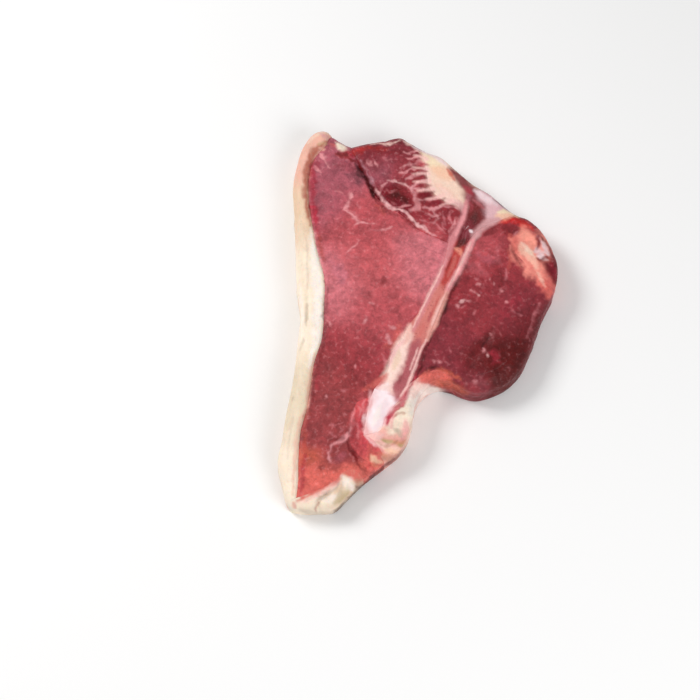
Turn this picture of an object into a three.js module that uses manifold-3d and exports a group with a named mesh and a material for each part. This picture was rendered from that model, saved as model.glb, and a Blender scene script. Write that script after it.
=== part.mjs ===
// A raw T-bone beef steak, lying flat on its lower cut face. Millimetres, +Z up.
//
// A T-bone is one sawn slice across the loin. The half vertebra stands in it as a T: its two short arms reach
// the back edge, and its long stem runs between the big strip loin and the rounder tenderloin. A layer of
// back fat closes the outer side, and the flank end tapers to a thin tail with its own fat.
//
// The slice is drawn in plan as a puzzle. One closed rim goes round the steak, and seams run from junction to
// junction inside it, so that two neighbouring tissues always share one line. Each tissue is the slice's
// rounded slab, cut by the prism of its own outline and by a top face that swells between the seams.
// The origin is the middle of the bounding box in plan, on the face that the steak lies on.

import * as THREE from 'three';
import { mergeVertices } from 'three/addons/utils/BufferGeometryUtils.js';
import Module from 'manifold-3d';

const wasm = await Module();
wasm.setup();

// Driving dimensions.
const LOIN_THICKNESS = 22; // of the slice, through the strip loin
const TAIL_THICKNESS = 16; // at the end of the flank tail
const TAIL_STARTS_Y = -50; // where the slice begins to thin
const TAIL_ENDS_Y = -111;
const SEAM_GAP = 0.3; // clear gap between two neighbouring tissues
const RIM_STEP = 3.8; // spacing of points along the rim and the seams
const FACE_STEP = 6.2; // spacing of the grid of the top face
const RIM_FALL = 1.8; // how far the top face drops towards the rim
const RIM_FALL_WIDTH = 9; // and over what width
const WAVE = 0.35; // height of the slow waves in the sawn face
const WAVE_LENGTH = 58;
const SWELL_WIDTH = 9; // from a seam inwards, where a tissue reaches its full swell
const ABOVE = 4; // how far the slab stands over the top face that cuts it
const BELOW = 3; // how far the cutting solids reach past what they cut

// The rim's section from the floor up: how far in from the outline, at which share of the thickness.
const RIM_SECTION = [
  { inset: 2.4, share: 0 },
  { inset: 0.7, share: 0.08 },
  { inset: 0, share: 0.26 },
  { inset: 0, share: 0.66 },
  { inset: 0.7, share: 0.86 },
  { inset: 2, share: 0.98 },
];

// The rim, clockwise from the top of the back fat. A point with a name is a junction where a seam ends.
const RIM = [
  { name: 'capTop', at: [-48, 109] }, { at: [-43, 105] },
  { name: 'loinTop', at: [-37, 102] }, { at: [-29, 104] }, { at: [-19, 106] }, { at: [-9, 108] },
  { at: [-3, 104] },
  { name: 'boneTop', at: [5, 99] }, { at: [13, 94] }, { at: [22, 85] }, { at: [31, 76] }, { at: [41, 69] },
  { name: 'filletTop', at: [54, 59] }, { at: [61, 56] },
  { name: 'kidneyTop', at: [67, 50] }, { at: [72, 41] }, { at: [76, 29] }, { at: [76, 20] },
  { name: 'kidneyEnd', at: [74, 12] }, { at: [67, -3] }, { at: [63, -14] }, { at: [59, -24] },
  { at: [54, -34] }, { at: [46, -42] }, { at: [35, -47] }, { at: [29, -48] },
  { name: 'filletEnd', at: [22, -46] }, { at: [16, -43] }, { at: [9, -42] }, { at: [2, -46] },
  { at: [-3, -54] }, { at: [-5, -64] }, { at: [-7, -72] }, { at: [-12, -80] },
  { name: 'flankSide', at: [-20, -87] },
  { name: 'flankEnd', at: [-25, -91] },
  { name: 'loinEnd', at: [-31, -96] }, { at: [-39, -104] }, { at: [-46, -111] }, { at: [-55, -112] },
  { at: [-63, -112] },
  { name: 'capEnd', at: [-70, -110] }, { at: [-73, -100] }, { at: [-76, -87] }, { at: [-74, -76] },
  { at: [-72, -62] }, { at: [-69, -46] }, { at: [-67, -30] }, { at: [-66, -18] }, { at: [-65, -5] },
  { at: [-67, 13] }, { at: [-68, 33] }, { at: [-69, 57] }, { at: [-70, 76] }, { at: [-68, 90] },
  { at: [-64, 103] }, { at: [-58, 111] }, { at: [-52, 112] },
];

// Junctions inside the slice, where three tissues meet.
const INNER = {
  tailTip: [-66, -107], // strip loin, back fat and tail fat
  boneFork: [16, 39], // strip loin, marbled muscle and bone
  gristleLeft: [-25, -48], // strip loin, bone and gristle
  gristleRight: [-9, -53], // gristle, bone and flank fat
  flankTop: [-27, -53], // strip loin, gristle and flank muscle
  gristleEnd: [-31, -74], // gristle, flank muscle and flank fat
  fatTop: [-6, -45], // bone, flank fat and tenderloin
};

// Seams, each from one junction to another through a few points.
const SEAMS = {
  backFat: {
    from: 'capTop', to: 'tailTip',
    through: [[-52, 101], [-58, 93], [-61, 82], [-61, 66], [-59, 51], [-56, 34], [-52, 17], [-52, 1],
      [-53, -18], [-57, -32], [-59, -46], [-61, -60], [-64, -72], [-65, -88], [-65, -99]],
  },
  fatCorner: { from: 'tailTip', to: 'capEnd', through: [] },
  tailFat: {
    from: 'tailTip', to: 'loinEnd',
    through: [[-60, -105], [-53, -102], [-46, -98], [-41, -93], [-36, -92]],
  },
  marbled: {
    from: 'loinTop', to: 'boneFork',
    through: [[-34, 91], [-29, 82], [-25, 72], [-18, 63], [-9, 56], [0, 47], [8, 43]],
  },
  boneArm: {
    from: 'boneTop', to: 'boneFork',
    through: [[5, 84], [7, 73], [14, 66], [22, 62], [23, 55], [19, 46]],
  },
  boneLeft: {
    from: 'boneFork', to: 'gristleLeft',
    through: [[13, 26], [7, 12], [0, -2], [-7, -12], [-11, -21], [-16, -28], [-18, -38]],
  },
  gristleTop: { from: 'gristleLeft', to: 'gristleRight', through: [[-17, -52]] },
  gristleLoin: { from: 'gristleLeft', to: 'flankTop', through: [] },
  gristleFlank: { from: 'flankTop', to: 'gristleEnd', through: [[-29, -62]] },
  gristleFat: { from: 'gristleRight', to: 'gristleEnd', through: [[-15, -58], [-19, -64], [-22, -71]] },
  flankLeft: {
    from: 'flankTop', to: 'flankEnd',
    through: [[-33, -54], [-36, -60], [-38, -70], [-38, -77], [-34, -84]],
  },
  flankRight: { from: 'gristleEnd', to: 'flankSide', through: [[-26, -76], [-23, -80], [-21, -84]] },
  boneRight: {
    from: 'filletTop', to: 'fatTop',
    through: [[45, 53], [36, 49], [28, 41], [22, 26], [14, 6], [6, -14], [-1, -31]],
  },
  boneFat: { from: 'fatTop', to: 'gristleRight', through: [] },
  filletFat: { from: 'fatTop', to: 'filletEnd', through: [[1, -40], [9, -37], [16, -40]] },
  kidney: { from: 'kidneyTop', to: 'kidneyEnd', through: [[58, 47], [52, 43], [52, 35], [58, 26], [65, 17]] },
};

// The tissues. An outline is a list of steps: 'rim' follows the rim clockwise between two junctions, and a
// seam's name follows that seam, backwards if a minus stands before it. rise lifts the tissue's cut face over
// the saw's level, and swell is how far it bulges between its seams.
const TISSUES = {
  strip_loin: {
    outline: [['rim', 'capTop', 'loinTop'], 'marbled', 'boneLeft', 'gristleLoin', 'flankLeft',
      ['rim', 'flankEnd', 'loinEnd'], '-tailFat', '-backFat'],
    rise: 0, swell: 0.8, colour: 0xa84a50, roughness: 0.42,
  },
  marbled_muscle: {
    outline: [['rim', 'loinTop', 'boneTop'], 'boneArm', '-marbled'],
    rise: 0.8, swell: 0.6, colour: 0x8a3e44, roughness: 0.42,
  },
  tenderloin: {
    outline: [['rim', 'filletTop', 'kidneyTop'], 'kidney', ['rim', 'kidneyEnd', 'filletEnd'], '-filletFat',
      '-boneRight'],
    rise: -1, swell: 1, colour: 0x8a3a3e, roughness: 0.42,
  },
  flank_muscle: {
    outline: ['flankRight', ['rim', 'flankSide', 'flankEnd'], '-flankLeft', 'gristleFlank'],
    rise: -0.4, swell: 0.4, colour: 0xc0585c, roughness: 0.42,
  },
  back_fat: {
    outline: [['rim', 'capEnd', 'capTop'], 'backFat', 'fatCorner'],
    rise: 0.8, swell: 0.5, colour: 0xf3e2cc, roughness: 0.5,
  },
  tail_fat: {
    outline: ['tailFat', ['rim', 'loinEnd', 'capEnd'], '-fatCorner'],
    rise: 0, swell: 0.3, colour: 0xf0e0d2, roughness: 0.5,
  },
  flank_fat: {
    outline: ['filletFat', ['rim', 'filletEnd', 'flankSide'], '-flankRight', '-gristleFat', '-boneFat'],
    rise: 0.2, swell: 0.4, colour: 0xf0ccc0, roughness: 0.5,
  },
  kidney_fat: {
    outline: [['rim', 'kidneyTop', 'kidneyEnd'], '-kidney'],
    rise: -0.2, swell: 0.5, colour: 0xeeaa9c, roughness: 0.5,
  },
  t_bone: {
    outline: [['rim', 'boneTop', 'filletTop'], 'boneRight', 'boneFat', '-gristleTop', '-boneLeft',
      '-boneArm'],
    rise: 1, swell: 0, colour: 0xe0a8a0, roughness: 0.4,
  },
  gristle_tip: {
    outline: ['gristleTop', 'gristleFat', '-gristleFlank', '-gristleLoin'],
    rise: 0.6, swell: 0.3, colour: 0xf2dee2, roughness: 0.35,
  },
};

const toVector = ([x, y]) => new THREE.Vector3(x, y, 0);
const rimCurve = new THREE.CatmullRomCurve3(RIM.map((point) => toVector(point.at)), true, 'centripetal');
const rimIndex = (name) => RIM.findIndex((point) => point.name === name);

function junction(name) {
  const index = rimIndex(name);
  return index < 0 ? INNER[name] : RIM[index].at;
}

// Points along a curve from one parameter to another, about RIM_STEP apart, as THREE.Vector2.
function sample(curve, start, end) {
  const rough = 200;
  let length = 0;
  let last = curve.getPoint(start);
  for (let i = 1; i <= rough; i++) {
    const next = curve.getPoint(THREE.MathUtils.lerp(start, end, i / rough));
    length += next.distanceTo(last);
    last = next;
  }
  const steps = Math.max(2, Math.round(length / RIM_STEP));
  const points = [];
  for (let i = 0; i <= steps; i++) {
    const point = curve.getPoint(THREE.MathUtils.lerp(start, end, i / steps));
    points.push(new THREE.Vector2(point.x, point.y));
  }
  return points;
}

// The rim clockwise between two junctions. A stretch that passes the last point wraps round to the first.
function rimStretch(from, to) {
  const start = rimIndex(from);
  const end = rimIndex(to) > start ? rimIndex(to) : rimIndex(to) + RIM.length;
  const points = [];
  for (let i = start; i < end; i++) {
    const piece = sample(rimCurve, (i % RIM.length) / RIM.length, ((i % RIM.length) + 1) / RIM.length);
    points.push(...piece.slice(0, -1));
  }
  points.push(new THREE.Vector2(...junction(to)));
  return points;
}

function seamPoints(name) {
  const { from, to, through } = SEAMS[name];
  const ends = [junction(from), ...through, junction(to)];
  return sample(new THREE.CatmullRomCurve3(ends.map(toVector), false, 'centripetal'), 0, 1);
}

// The closed outline that a tissue's steps describe, counter-clockwise, without repeated points.
function outlineOf(steps) {
  const points = [];
  for (const step of steps) {
    const reversed = step[0] === '-';
    const stretch = Array.isArray(step) ? rimStretch(step[1], step[2]) : seamPoints(step.replace('-', ''));
    if (reversed) stretch.reverse();
    points.push(...stretch.slice(0, -1));
  }
  return THREE.ShapeUtils.isClockWise(points) ? points.reverse() : points;
}

// A counter-clockwise outline moved inwards by a distance, with mitred corners.
function inset(points, distance) {
  const sharpest = 3;
  return points.map((point, i) => {
    const before = points.at(i - 1);
    const after = points[(i + 1) % points.length];
    const normalIn = point.clone().sub(before).normalize();
    const normalOut = after.clone().sub(point).normalize();
    const bisector = new THREE.Vector2(-normalIn.y - normalOut.y, normalIn.x + normalOut.x).normalize();
    const spread = Math.max(1 / sharpest, bisector.dot(new THREE.Vector2(-normalIn.y, normalIn.x)));
    return point.clone().addScaledVector(bisector, distance / spread);
  });
}

// The triangles that fill a ring as it is seen from above.
function flatTriangles(ring) {
  return THREE.ShapeUtils.triangulateShape(ring.map((point) => new THREE.Vector2(point.x, point.y)), []);
}

// A closed solid through rings with the same number of points, from the lowest ring to the highest.
function loft(rings) {
  const count = rings[0].length;
  const position = rings.flat().flatMap((point) => [point.x, point.y, point.z]);
  const index = [];
  for (let ring = 0; ring < rings.length - 1; ring++) {
    for (let i = 0; i < count; i++) {
      const a = ring * count + i;
      const b = ring * count + ((i + 1) % count);
      index.push(a, b, b + count, a, b + count, a + count);
    }
  }
  const lid = rings.length * count - count;
  for (const [a, b, c] of flatTriangles(rings[0])) index.push(a, c, b);
  for (const [a, b, c] of flatTriangles(rings.at(-1))) index.push(lid + a, lid + b, lid + c);
  return toSolid(position, index);
}

function toSolid(position, index) {
  const geometry = new THREE.BufferGeometry();
  geometry.setAttribute('position', new THREE.Float32BufferAttribute(position, 3));
  geometry.setIndex(index);
  const merged = mergeVertices(geometry, 1e-4);
  return new wasm.Manifold(new wasm.Mesh({
    numProp: 3,
    vertProperties: merged.attributes.position.array,
    triVerts: new Uint32Array(merged.index.array),
  }));
}

// Thickness of the slice at a place in plan: full over the loin, thinner towards the end of the tail.
function thicknessAt(y) {
  const share = THREE.MathUtils.smoothstep(y, TAIL_ENDS_Y, TAIL_STARTS_Y);
  return THREE.MathUtils.lerp(TAIL_THICKNESS, LOIN_THICKNESS, share);
}

function distanceToOutline(x, y, outline) {
  let nearest = Infinity;
  for (const point of outline) nearest = Math.min(nearest, Math.hypot(point.x - x, point.y - y));
  return nearest;
}

// A hump that is 0 at an edge and 1 from a width inwards, round at the top.
const hump = (distance, width) => 1 - Math.max(0, 1 - distance / width) ** 2;

// Height of a tissue's cut face: the slice's thickness, slow waves, the tissue's own rise and swell, and the
// fall towards the rim.
function faceHeight(x, y, tissue, outline, rim) {
  const turn = (2 * Math.PI) / WAVE_LENGTH;
  const skew = 0.5; // of the waves, so that they run aslant over the slice
  const wave = WAVE * Math.sin(turn * (x + skew * y)) * Math.cos(turn * (y - skew * x));
  const swell = tissue.swell * hump(distanceToOutline(x, y, outline), SWELL_WIDTH);
  const fall = RIM_FALL * (1 - hump(distanceToOutline(x, y, rim), RIM_FALL_WIDTH));
  return thicknessAt(y) + wave + tissue.rise + swell - fall;
}

// Everything under a tissue's cut face: a grid over its box, closed by walls and a flat floor.
function underFace(tissue, outline, rim) {
  const box = new THREE.Box2().setFromPoints(outline).expandByScalar(FACE_STEP);
  const size = box.getSize(new THREE.Vector2());
  const across = Math.ceil(size.x / FACE_STEP);
  const along = Math.ceil(size.y / FACE_STEP);
  const face = new THREE.PlaneGeometry(size.x, size.y, across, along);
  const centre = box.getCenter(new THREE.Vector2());
  face.translate(centre.x, centre.y, 0);
  const top = [...face.attributes.position.array];
  const count = top.length / 3;
  for (let i = 0; i < count; i++) {
    top[3 * i + 2] = faceHeight(top[3 * i], top[3 * i + 1], tissue, outline, rim);
  }
  const bottom = top.map((value, i) => (i % 3 === 2 ? -BELOW : value));
  const index = [...face.index.array];
  const corner = (column, row) => row * (across + 1) + column;
  const edge = [];
  for (let i = 0; i < across; i++) edge.push(corner(i, along));
  for (let i = along; i > 0; i--) edge.push(corner(across, i));
  for (let i = across; i > 0; i--) edge.push(corner(i, 0));
  for (let i = 0; i < along; i++) edge.push(corner(0, i));
  edge.forEach((a, i) => {
    const b = edge[(i + 1) % edge.length];
    index.push(count + a, count + b, b, count + a, b, a);
  });
  for (let i = 0; i < face.index.count; i += 3) {
    const [a, b, c] = [0, 1, 2].map((k) => face.index.array[i + k] + count);
    index.push(a, c, b);
  }
  return toSolid([...top, ...bottom], index);
}

// The whole slice as one slab with a rounded rim. It stands a little over the cut faces, which trim it.
function slab(rim) {
  const rings = RIM_SECTION.map(({ inset: distance, share }) =>
    inset(rim, distance).map((point) => new THREE.Vector3(point.x, point.y, share * thicknessAt(point.y))));
  const lid = rings.at(-1).map((point) => new THREE.Vector3(point.x, point.y, point.z + ABOVE));
  return loft([...rings, lid]);
}

function prism(outline) {
  const level = (z) => outline.map((point) => new THREE.Vector3(point.x, point.y, z));
  return loft([level(-BELOW), level(LOIN_THICKNESS + 2 * ABOVE)]);
}

function toGeometry(solid) {
  const mesh = solid.getMesh();
  const geometry = new THREE.BufferGeometry();
  geometry.setAttribute('position', new THREE.BufferAttribute(new Float32Array(mesh.vertProperties), 3));
  geometry.setIndex(new THREE.BufferAttribute(new Uint32Array(mesh.triVerts), 1));
  geometry.computeVertexNormals();
  return geometry;
}

const rim = outlineOf([['rim', 'capTop', 'capEnd'], ['rim', 'capEnd', 'capTop']]);
const slice = slab(rim);

function tissueMesh(name, tissue) {
  const outline = outlineOf(tissue.outline);
  const column = slice.intersect(prism(inset(outline, SEAM_GAP / 2)));
  const solid = column.intersect(underFace(tissue, outline, rim));
  const { colour: color, roughness } = tissue;
  const material = new THREE.MeshStandardMaterial({ color, roughness, metalness: 0 });
  const mesh = new THREE.Mesh(toGeometry(solid), material);
  mesh.name = name;
  return mesh;
}

const steak = new THREE.Group();
for (const [name, tissue] of Object.entries(TISSUES)) steak.add(tissueMesh(name, tissue));

export default steak;
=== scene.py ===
# %% [markdown]
# # A raw T-bone steak
#
# A T-bone is one sawn slice of a beef loin. The half vertebra stands in it as a T, and every tissue that
# the saw went through shows on the cut face: two big muscles, three smaller tissues round them, and
# several kinds of fat. The packed model already holds these tissues as plain solids. This lesson gives
# each of them its real surface: a relief that follows the seams, a painted map of veins, fat and blood
# with painted shade and highlights in places, and a wet procedural finish.

import math

import bpy
import numpy as np
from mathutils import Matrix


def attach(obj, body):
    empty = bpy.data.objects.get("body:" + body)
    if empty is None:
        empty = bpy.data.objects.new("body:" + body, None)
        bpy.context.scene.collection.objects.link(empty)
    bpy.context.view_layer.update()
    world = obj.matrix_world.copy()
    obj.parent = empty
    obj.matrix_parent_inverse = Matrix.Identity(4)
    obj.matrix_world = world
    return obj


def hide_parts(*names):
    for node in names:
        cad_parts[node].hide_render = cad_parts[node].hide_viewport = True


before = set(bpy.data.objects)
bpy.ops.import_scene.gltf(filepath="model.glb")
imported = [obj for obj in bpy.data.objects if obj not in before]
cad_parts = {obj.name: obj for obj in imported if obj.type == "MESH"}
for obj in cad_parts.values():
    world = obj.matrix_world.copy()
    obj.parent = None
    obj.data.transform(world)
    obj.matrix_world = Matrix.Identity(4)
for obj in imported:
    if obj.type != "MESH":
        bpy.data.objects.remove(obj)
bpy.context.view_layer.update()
MM = 0.001

# %% [markdown]
# ## The camera
#
# The photograph looks down on the steak at about 66 degrees, from straight in front, with little
# perspective. A camera that far up could be placed by eye, but it is easier to say what it looks at, how
# steeply and from how far, and to work out its place from those. The steak doesn't stand in the middle of
# the photograph, so the camera looks at a point to its left.

# %% Camera at the photograph's angle
LENS = 85.0
SENSOR = 36.0
PICTURE_PIXELS = 700
MM_PER_PIXEL = 0.55
ELEVATION = math.radians(66)
LOOKS_AT = np.array([-38.0, -16.0, 0.0])

distance_mm = MM_PER_PIXEL * PICTURE_PIXELS * LENS / SENSOR
towards_camera = np.array([0.0, -math.cos(ELEVATION), math.sin(ELEVATION)])

camera_data = bpy.data.cameras.new("camera")
camera_data.lens = LENS
camera_data.sensor_width = SENSOR
camera = bpy.data.objects.new("camera", camera_data)
camera.location = (LOOKS_AT + towards_camera * distance_mm) * MM
camera.rotation_euler = (math.pi / 2 - ELEVATION, 0, 0)
bpy.context.scene.collection.objects.link(camera)
bpy.context.scene.camera = camera
print("camera stands at, m:", [round(value, 3) for value in camera.location])

# %% [markdown]
# ## Curves
#
# The steak is drawn in plan, as a butcher sees it from above. One closed rim goes round it, and seams run
# inside it from junction to junction. They are the same points as in the packed model, in millimetres. A
# curve that goes through given points could be a Bezier curve, but its handles would have to be
# stored too. A centripetal Catmull-Rom curve needs only the points, and it makes no loops where they lie
# unevenly.

# %% A smooth curve through points
def catmull_rom(points, closed=False, samples=24):
    """Rows of x and y along a centripetal Catmull-Rom curve, with a number of samples to each span.

    In the span from p1 to p2, with neighbours p0 and p3 and knots apart by the square roots of the
    distances, the tangents are differences over those knots, and the point at t is p1 + m1 t + c2 t^2 +
    c3 t^3.
    """
    points = np.asarray(points, float)
    if closed:
        corners = [np.roll(points, shift, 0) for shift in (1, 0, -1, -2)]
    else:
        padded = np.vstack([2 * points[0] - points[1], points, 2 * points[-1] - points[-2]])
        corners = [padded[:-3], padded[1:-2], padded[2:-1], padded[3:]]
    p0, p1, p2, p3 = corners
    neighbours = ((p0, p1), (p1, p2), (p2, p3))
    k0, k1, k2 = (np.sqrt(np.linalg.norm(b - a, axis=1))[:, None] for a, b in neighbours)
    m1 = k1 * ((p1 - p0) / k0 - (p2 - p0) / (k0 + k1) + (p2 - p1) / k1)
    m2 = k1 * ((p2 - p1) / k1 - (p3 - p1) / (k1 + k2) + (p3 - p2) / k2)
    t = np.linspace(0, 1, samples, endpoint=False)[None, :, None]
    c2 = (-3 * p1 + 3 * p2 - 2 * m1 - m2)[:, None]
    c3 = (2 * p1 - 2 * p2 + m1 + m2)[:, None]
    curve = (p1[:, None] + m1[:, None] * t + c2 * t**2 + c3 * t**3).reshape(-1, 2)
    return curve if closed else np.vstack([curve, points[-1]])


def lengths_along(rows):
    """How far each row's point lies along the polyline through all of them."""
    steps = np.linalg.norm(np.diff(rows[:, :2], axis=0), axis=1)
    return np.concatenate([[0], np.cumsum(steps)])


def resample(rows, count):
    """The same line with count equal steps. Columns after x and y are carried along."""
    along = lengths_along(rows)
    wanted = np.linspace(0, along[-1], count + 1)
    return np.stack([np.interp(wanted, along, column) for column in rows.T], axis=1)


test_ring = catmull_rom([(10, 0), (0, 10), (-10, 0), (0, -10)], closed=True)
print("a ring through four places 10 mm out, mm round:", round(float(lengths_along(test_ring)[-1]), 1))

# %% The rim, clockwise from the top of the back fat, and the junctions inside it
RIM = [
    ("capTop", -48, 109), ("", -43, 105), ("loinTop", -37, 102), ("", -29, 104), ("", -19, 106),
    ("", -9, 108), ("", -3, 104), ("boneTop", 5, 99), ("", 13, 94), ("", 22, 85), ("", 31, 76),
    ("", 41, 69), ("filletTop", 54, 59), ("", 61, 56), ("kidneyTop", 67, 50), ("", 72, 41), ("", 76, 29),
    ("", 76, 20), ("kidneyEnd", 74, 12), ("", 67, -3), ("", 63, -14), ("", 59, -24), ("", 54, -34),
    ("filletCorner", 46, -42), ("", 35, -47), ("", 29, -48), ("filletEnd", 22, -46), ("", 16, -43),
    ("", 9, -42), ("notchTop", 2, -46), ("notchSide", -3, -54), ("", -5, -64), ("", -7, -72),
    ("", -12, -80), ("flankSide", -20, -87), ("flankEnd", -25, -91), ("loinEnd", -31, -96),
    ("", -39, -104), ("tailCorner", -46, -111), ("", -55, -112), ("", -63, -112), ("capEnd", -70, -110),
    ("", -73, -100), ("", -76, -87), ("", -74, -76), ("", -72, -62), ("", -69, -46), ("", -67, -30),
    ("", -66, -18), ("", -65, -5), ("", -67, 13), ("", -68, 33), ("", -69, 57), ("", -70, 76),
    ("", -68, 90), ("capShoulder", -64, 103), ("", -58, 111), ("", -52, 112),
]
INNER = {
    "tailTip": (-66, -107), "boneFork": (16, 39), "gristleLeft": (-25, -48), "gristleRight": (-9, -53),
    "flankTop": (-27, -53), "gristleEnd": (-31, -74), "fatTop": (-6, -45),
}
RIM_SAMPLES = 32
MEAT_EDGE = 8.0
EDGES = [("boneTop", "filletTop", 2.4), ("kidneyEnd", "filletEnd", 12.0), ("filletEnd", "flankSide", 4.4)]
EDGE_CHANGE = 40
INSET_SHARE = 0.375


def smoothstep(value, start=0.0, end=1.0):
    """0 up to start, 1 from end on, and 3t^2 - 2t^3 between them."""
    t = np.clip((value - start) / (end - start), 0, 1)
    return t * t * (3 - 2 * t)


rim_names = [name for name, x, y in RIM]
rim_line = catmull_rom([(x, y) for name, x, y in RIM], closed=True, samples=RIM_SAMPLES)
rim_tangent = np.roll(rim_line, -1, 0) - np.roll(rim_line, 1, 0)
rim_tangent /= np.linalg.norm(rim_tangent, axis=1)[:, None]
rim_normal = np.stack([-rim_tangent[:, 1], rim_tangent[:, 0]], axis=1)


def rim_index(name):
    """The row of rim_line where a named place of the rim lies."""
    return rim_names.index(name) * RIM_SAMPLES


edge_width = np.full(len(rim_line), MEAT_EDGE)
for first, last, width in EDGES:
    index = np.arange(len(rim_line))
    start, end = rim_index(first), rim_index(last)
    share = smoothstep(index, start, start + EDGE_CHANGE) * (1 - smoothstep(index, end - EDGE_CHANGE, end))
    edge_width += (width - MEAT_EDGE) * share
shoulder = rim_line - rim_normal * (INSET_SHARE * edge_width)[:, None]
print("rim length, mm:", round(float(lengths_along(rim_line)[-1])))

# %% The seams, each from one junction to another
SEAMS = {
    "backFat": ("capTop", "tailTip", [
        (-52, 101), (-58, 93), (-61, 82), (-61, 66), (-59, 51), (-56, 34), (-52, 17), (-52, 1), (-53, -18),
        (-57, -32), (-59, -46), (-61, -60), (-64, -72), (-65, -88), (-65, -99)]),
    "fatCorner": ("tailTip", "capEnd", []),
    "tailFat": ("tailTip", "loinEnd", [(-60, -105), (-53, -102), (-46, -98), (-41, -93), (-36, -92)]),
    "marbled": ("loinTop", "boneFork", [
        (-34, 91), (-29, 82), (-25, 72), (-18, 63), (-9, 56), (0, 47), (8, 43)]),
    "boneArm": ("boneTop", "boneFork", [(5, 84), (7, 73), (14, 66), (22, 62), (23, 55), (19, 46)]),
    "boneLeft": ("boneFork", "gristleLeft", [
        (13, 26), (7, 12), (0, -2), (-7, -12), (-11, -21), (-16, -28), (-18, -38)]),
    "gristleTop": ("gristleLeft", "gristleRight", [(-17, -52)]),
    "gristleLoin": ("gristleLeft", "flankTop", []),
    "gristleFlank": ("flankTop", "gristleEnd", [(-29, -62)]),
    "gristleFat": ("gristleRight", "gristleEnd", [(-15, -58), (-19, -64), (-22, -71)]),
    "flankLeft": ("flankTop", "flankEnd", [(-33, -54), (-36, -60), (-38, -70), (-38, -77), (-34, -84)]),
    "flankRight": ("gristleEnd", "flankSide", [(-26, -76), (-23, -80), (-21, -84)]),
    "boneRight": ("filletTop", "fatTop", [
        (45, 53), (36, 49), (28, 41), (22, 26), (14, 6), (6, -14), (-1, -31)]),
    "boneFat": ("fatTop", "gristleRight", []),
    "filletFat": ("fatTop", "filletEnd", [(1, -40), (9, -37), (16, -40)]),
    "kidney": ("kidneyTop", "kidneyEnd", [(58, 47), (52, 43), (52, 35), (58, 26), (65, 17)]),
}
SEAM_SAMPLES = 32


def junction(name):
    """A junction's place. On the rim that is the shoulder, where the top face ends."""
    return INNER[name] if name in INNER else shoulder[rim_index(name)]


seam_lines = {}
for name, (start, end, through) in SEAMS.items():
    seam_lines[name] = catmull_rom([junction(start), *through, junction(end)], samples=SEAM_SAMPLES)
print("seams:", len(seam_lines))

# %% [markdown]
# ## Four sides to every tissue
#
# Each tissue's face is a patch with four sides, so that a grid can be stretched over it. A side is made
# of stretches of the rim and of seams, and each stretch gets a whole number of grid steps, so that two
# neighbours both put a grid point on the junction that they share. Where a tissue bends, its two long
# sides are cut into the same number of groups, and a pair of groups gets the same number of steps. The
# grid lines then run straight across the tissue instead of slanting over a bend.

# %% Sides from stretches of rim and seam
GRID_STEP = 0.5
COARSE = 4
FEWEST_STEPS = 24


def stretch(name, first=None, last=None):
    """Rows of x, y, outward x, outward y and edge width, along part of the rim or along a seam."""
    if name == "rim":
        start, end = rim_index(first), rim_index(last)
        index = np.arange(start, (end if end > start else end + len(rim_line)) + 1) % len(rim_line)
        return np.column_stack([shoulder[index], rim_normal[index], edge_width[index]])
    first = first or 0
    last = len(SEAMS[name][2]) + 1 if last is None else last
    line = seam_lines[name][first * SEAM_SAMPLES:last * SEAM_SAMPLES + 1]
    return np.column_stack([line, np.zeros((len(line), 2)), np.full(len(line), MEAT_EDGE)])


def back(*step):
    """The same stretch, run the other way."""
    return stretch(*step)[::-1]


def group_length(group):
    """The length of all of a group's stretches together."""
    return sum(lengths_along(rows)[-1] for rows in group)


def joined(parts):
    """Stretches end to end. Where two meet, the row that knows its outward direction is kept."""
    rows = parts[0]
    for part in parts[1:]:
        meeting = part[0] if np.any(part[0, 2:4]) else rows[-1]
        rows = np.vstack([rows[:-1], meeting, part[1:]])
    return rows


def sampled(group, count):
    """One group with count steps, shared out by its stretches' lengths, at least one to each."""
    spans = np.array([lengths_along(rows)[-1] for rows in group])
    shares = np.maximum(1, np.round(count * spans / spans.sum()).astype(int))
    shares[np.argmax(shares)] += count - shares.sum()
    return joined([resample(rows, share) for rows, share in zip(group, shares)])


def opposite_sides(one, other):
    """Two opposite sides, with equal numbers of steps in facing groups that the coarse step divides."""
    counts = []
    for group, facing in zip(one, other):
        longest = max(group_length(group), group_length(facing))
        counts.append(max(FEWEST_STEPS, COARSE * math.ceil(longest / GRID_STEP / COARSE)))
    return [joined([sampled(group, count) for group, count in zip(side, counts)]) for side in (one, other)]


print("seam of the back fat, mm:", round(group_length([stretch("backFat")])))

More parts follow.
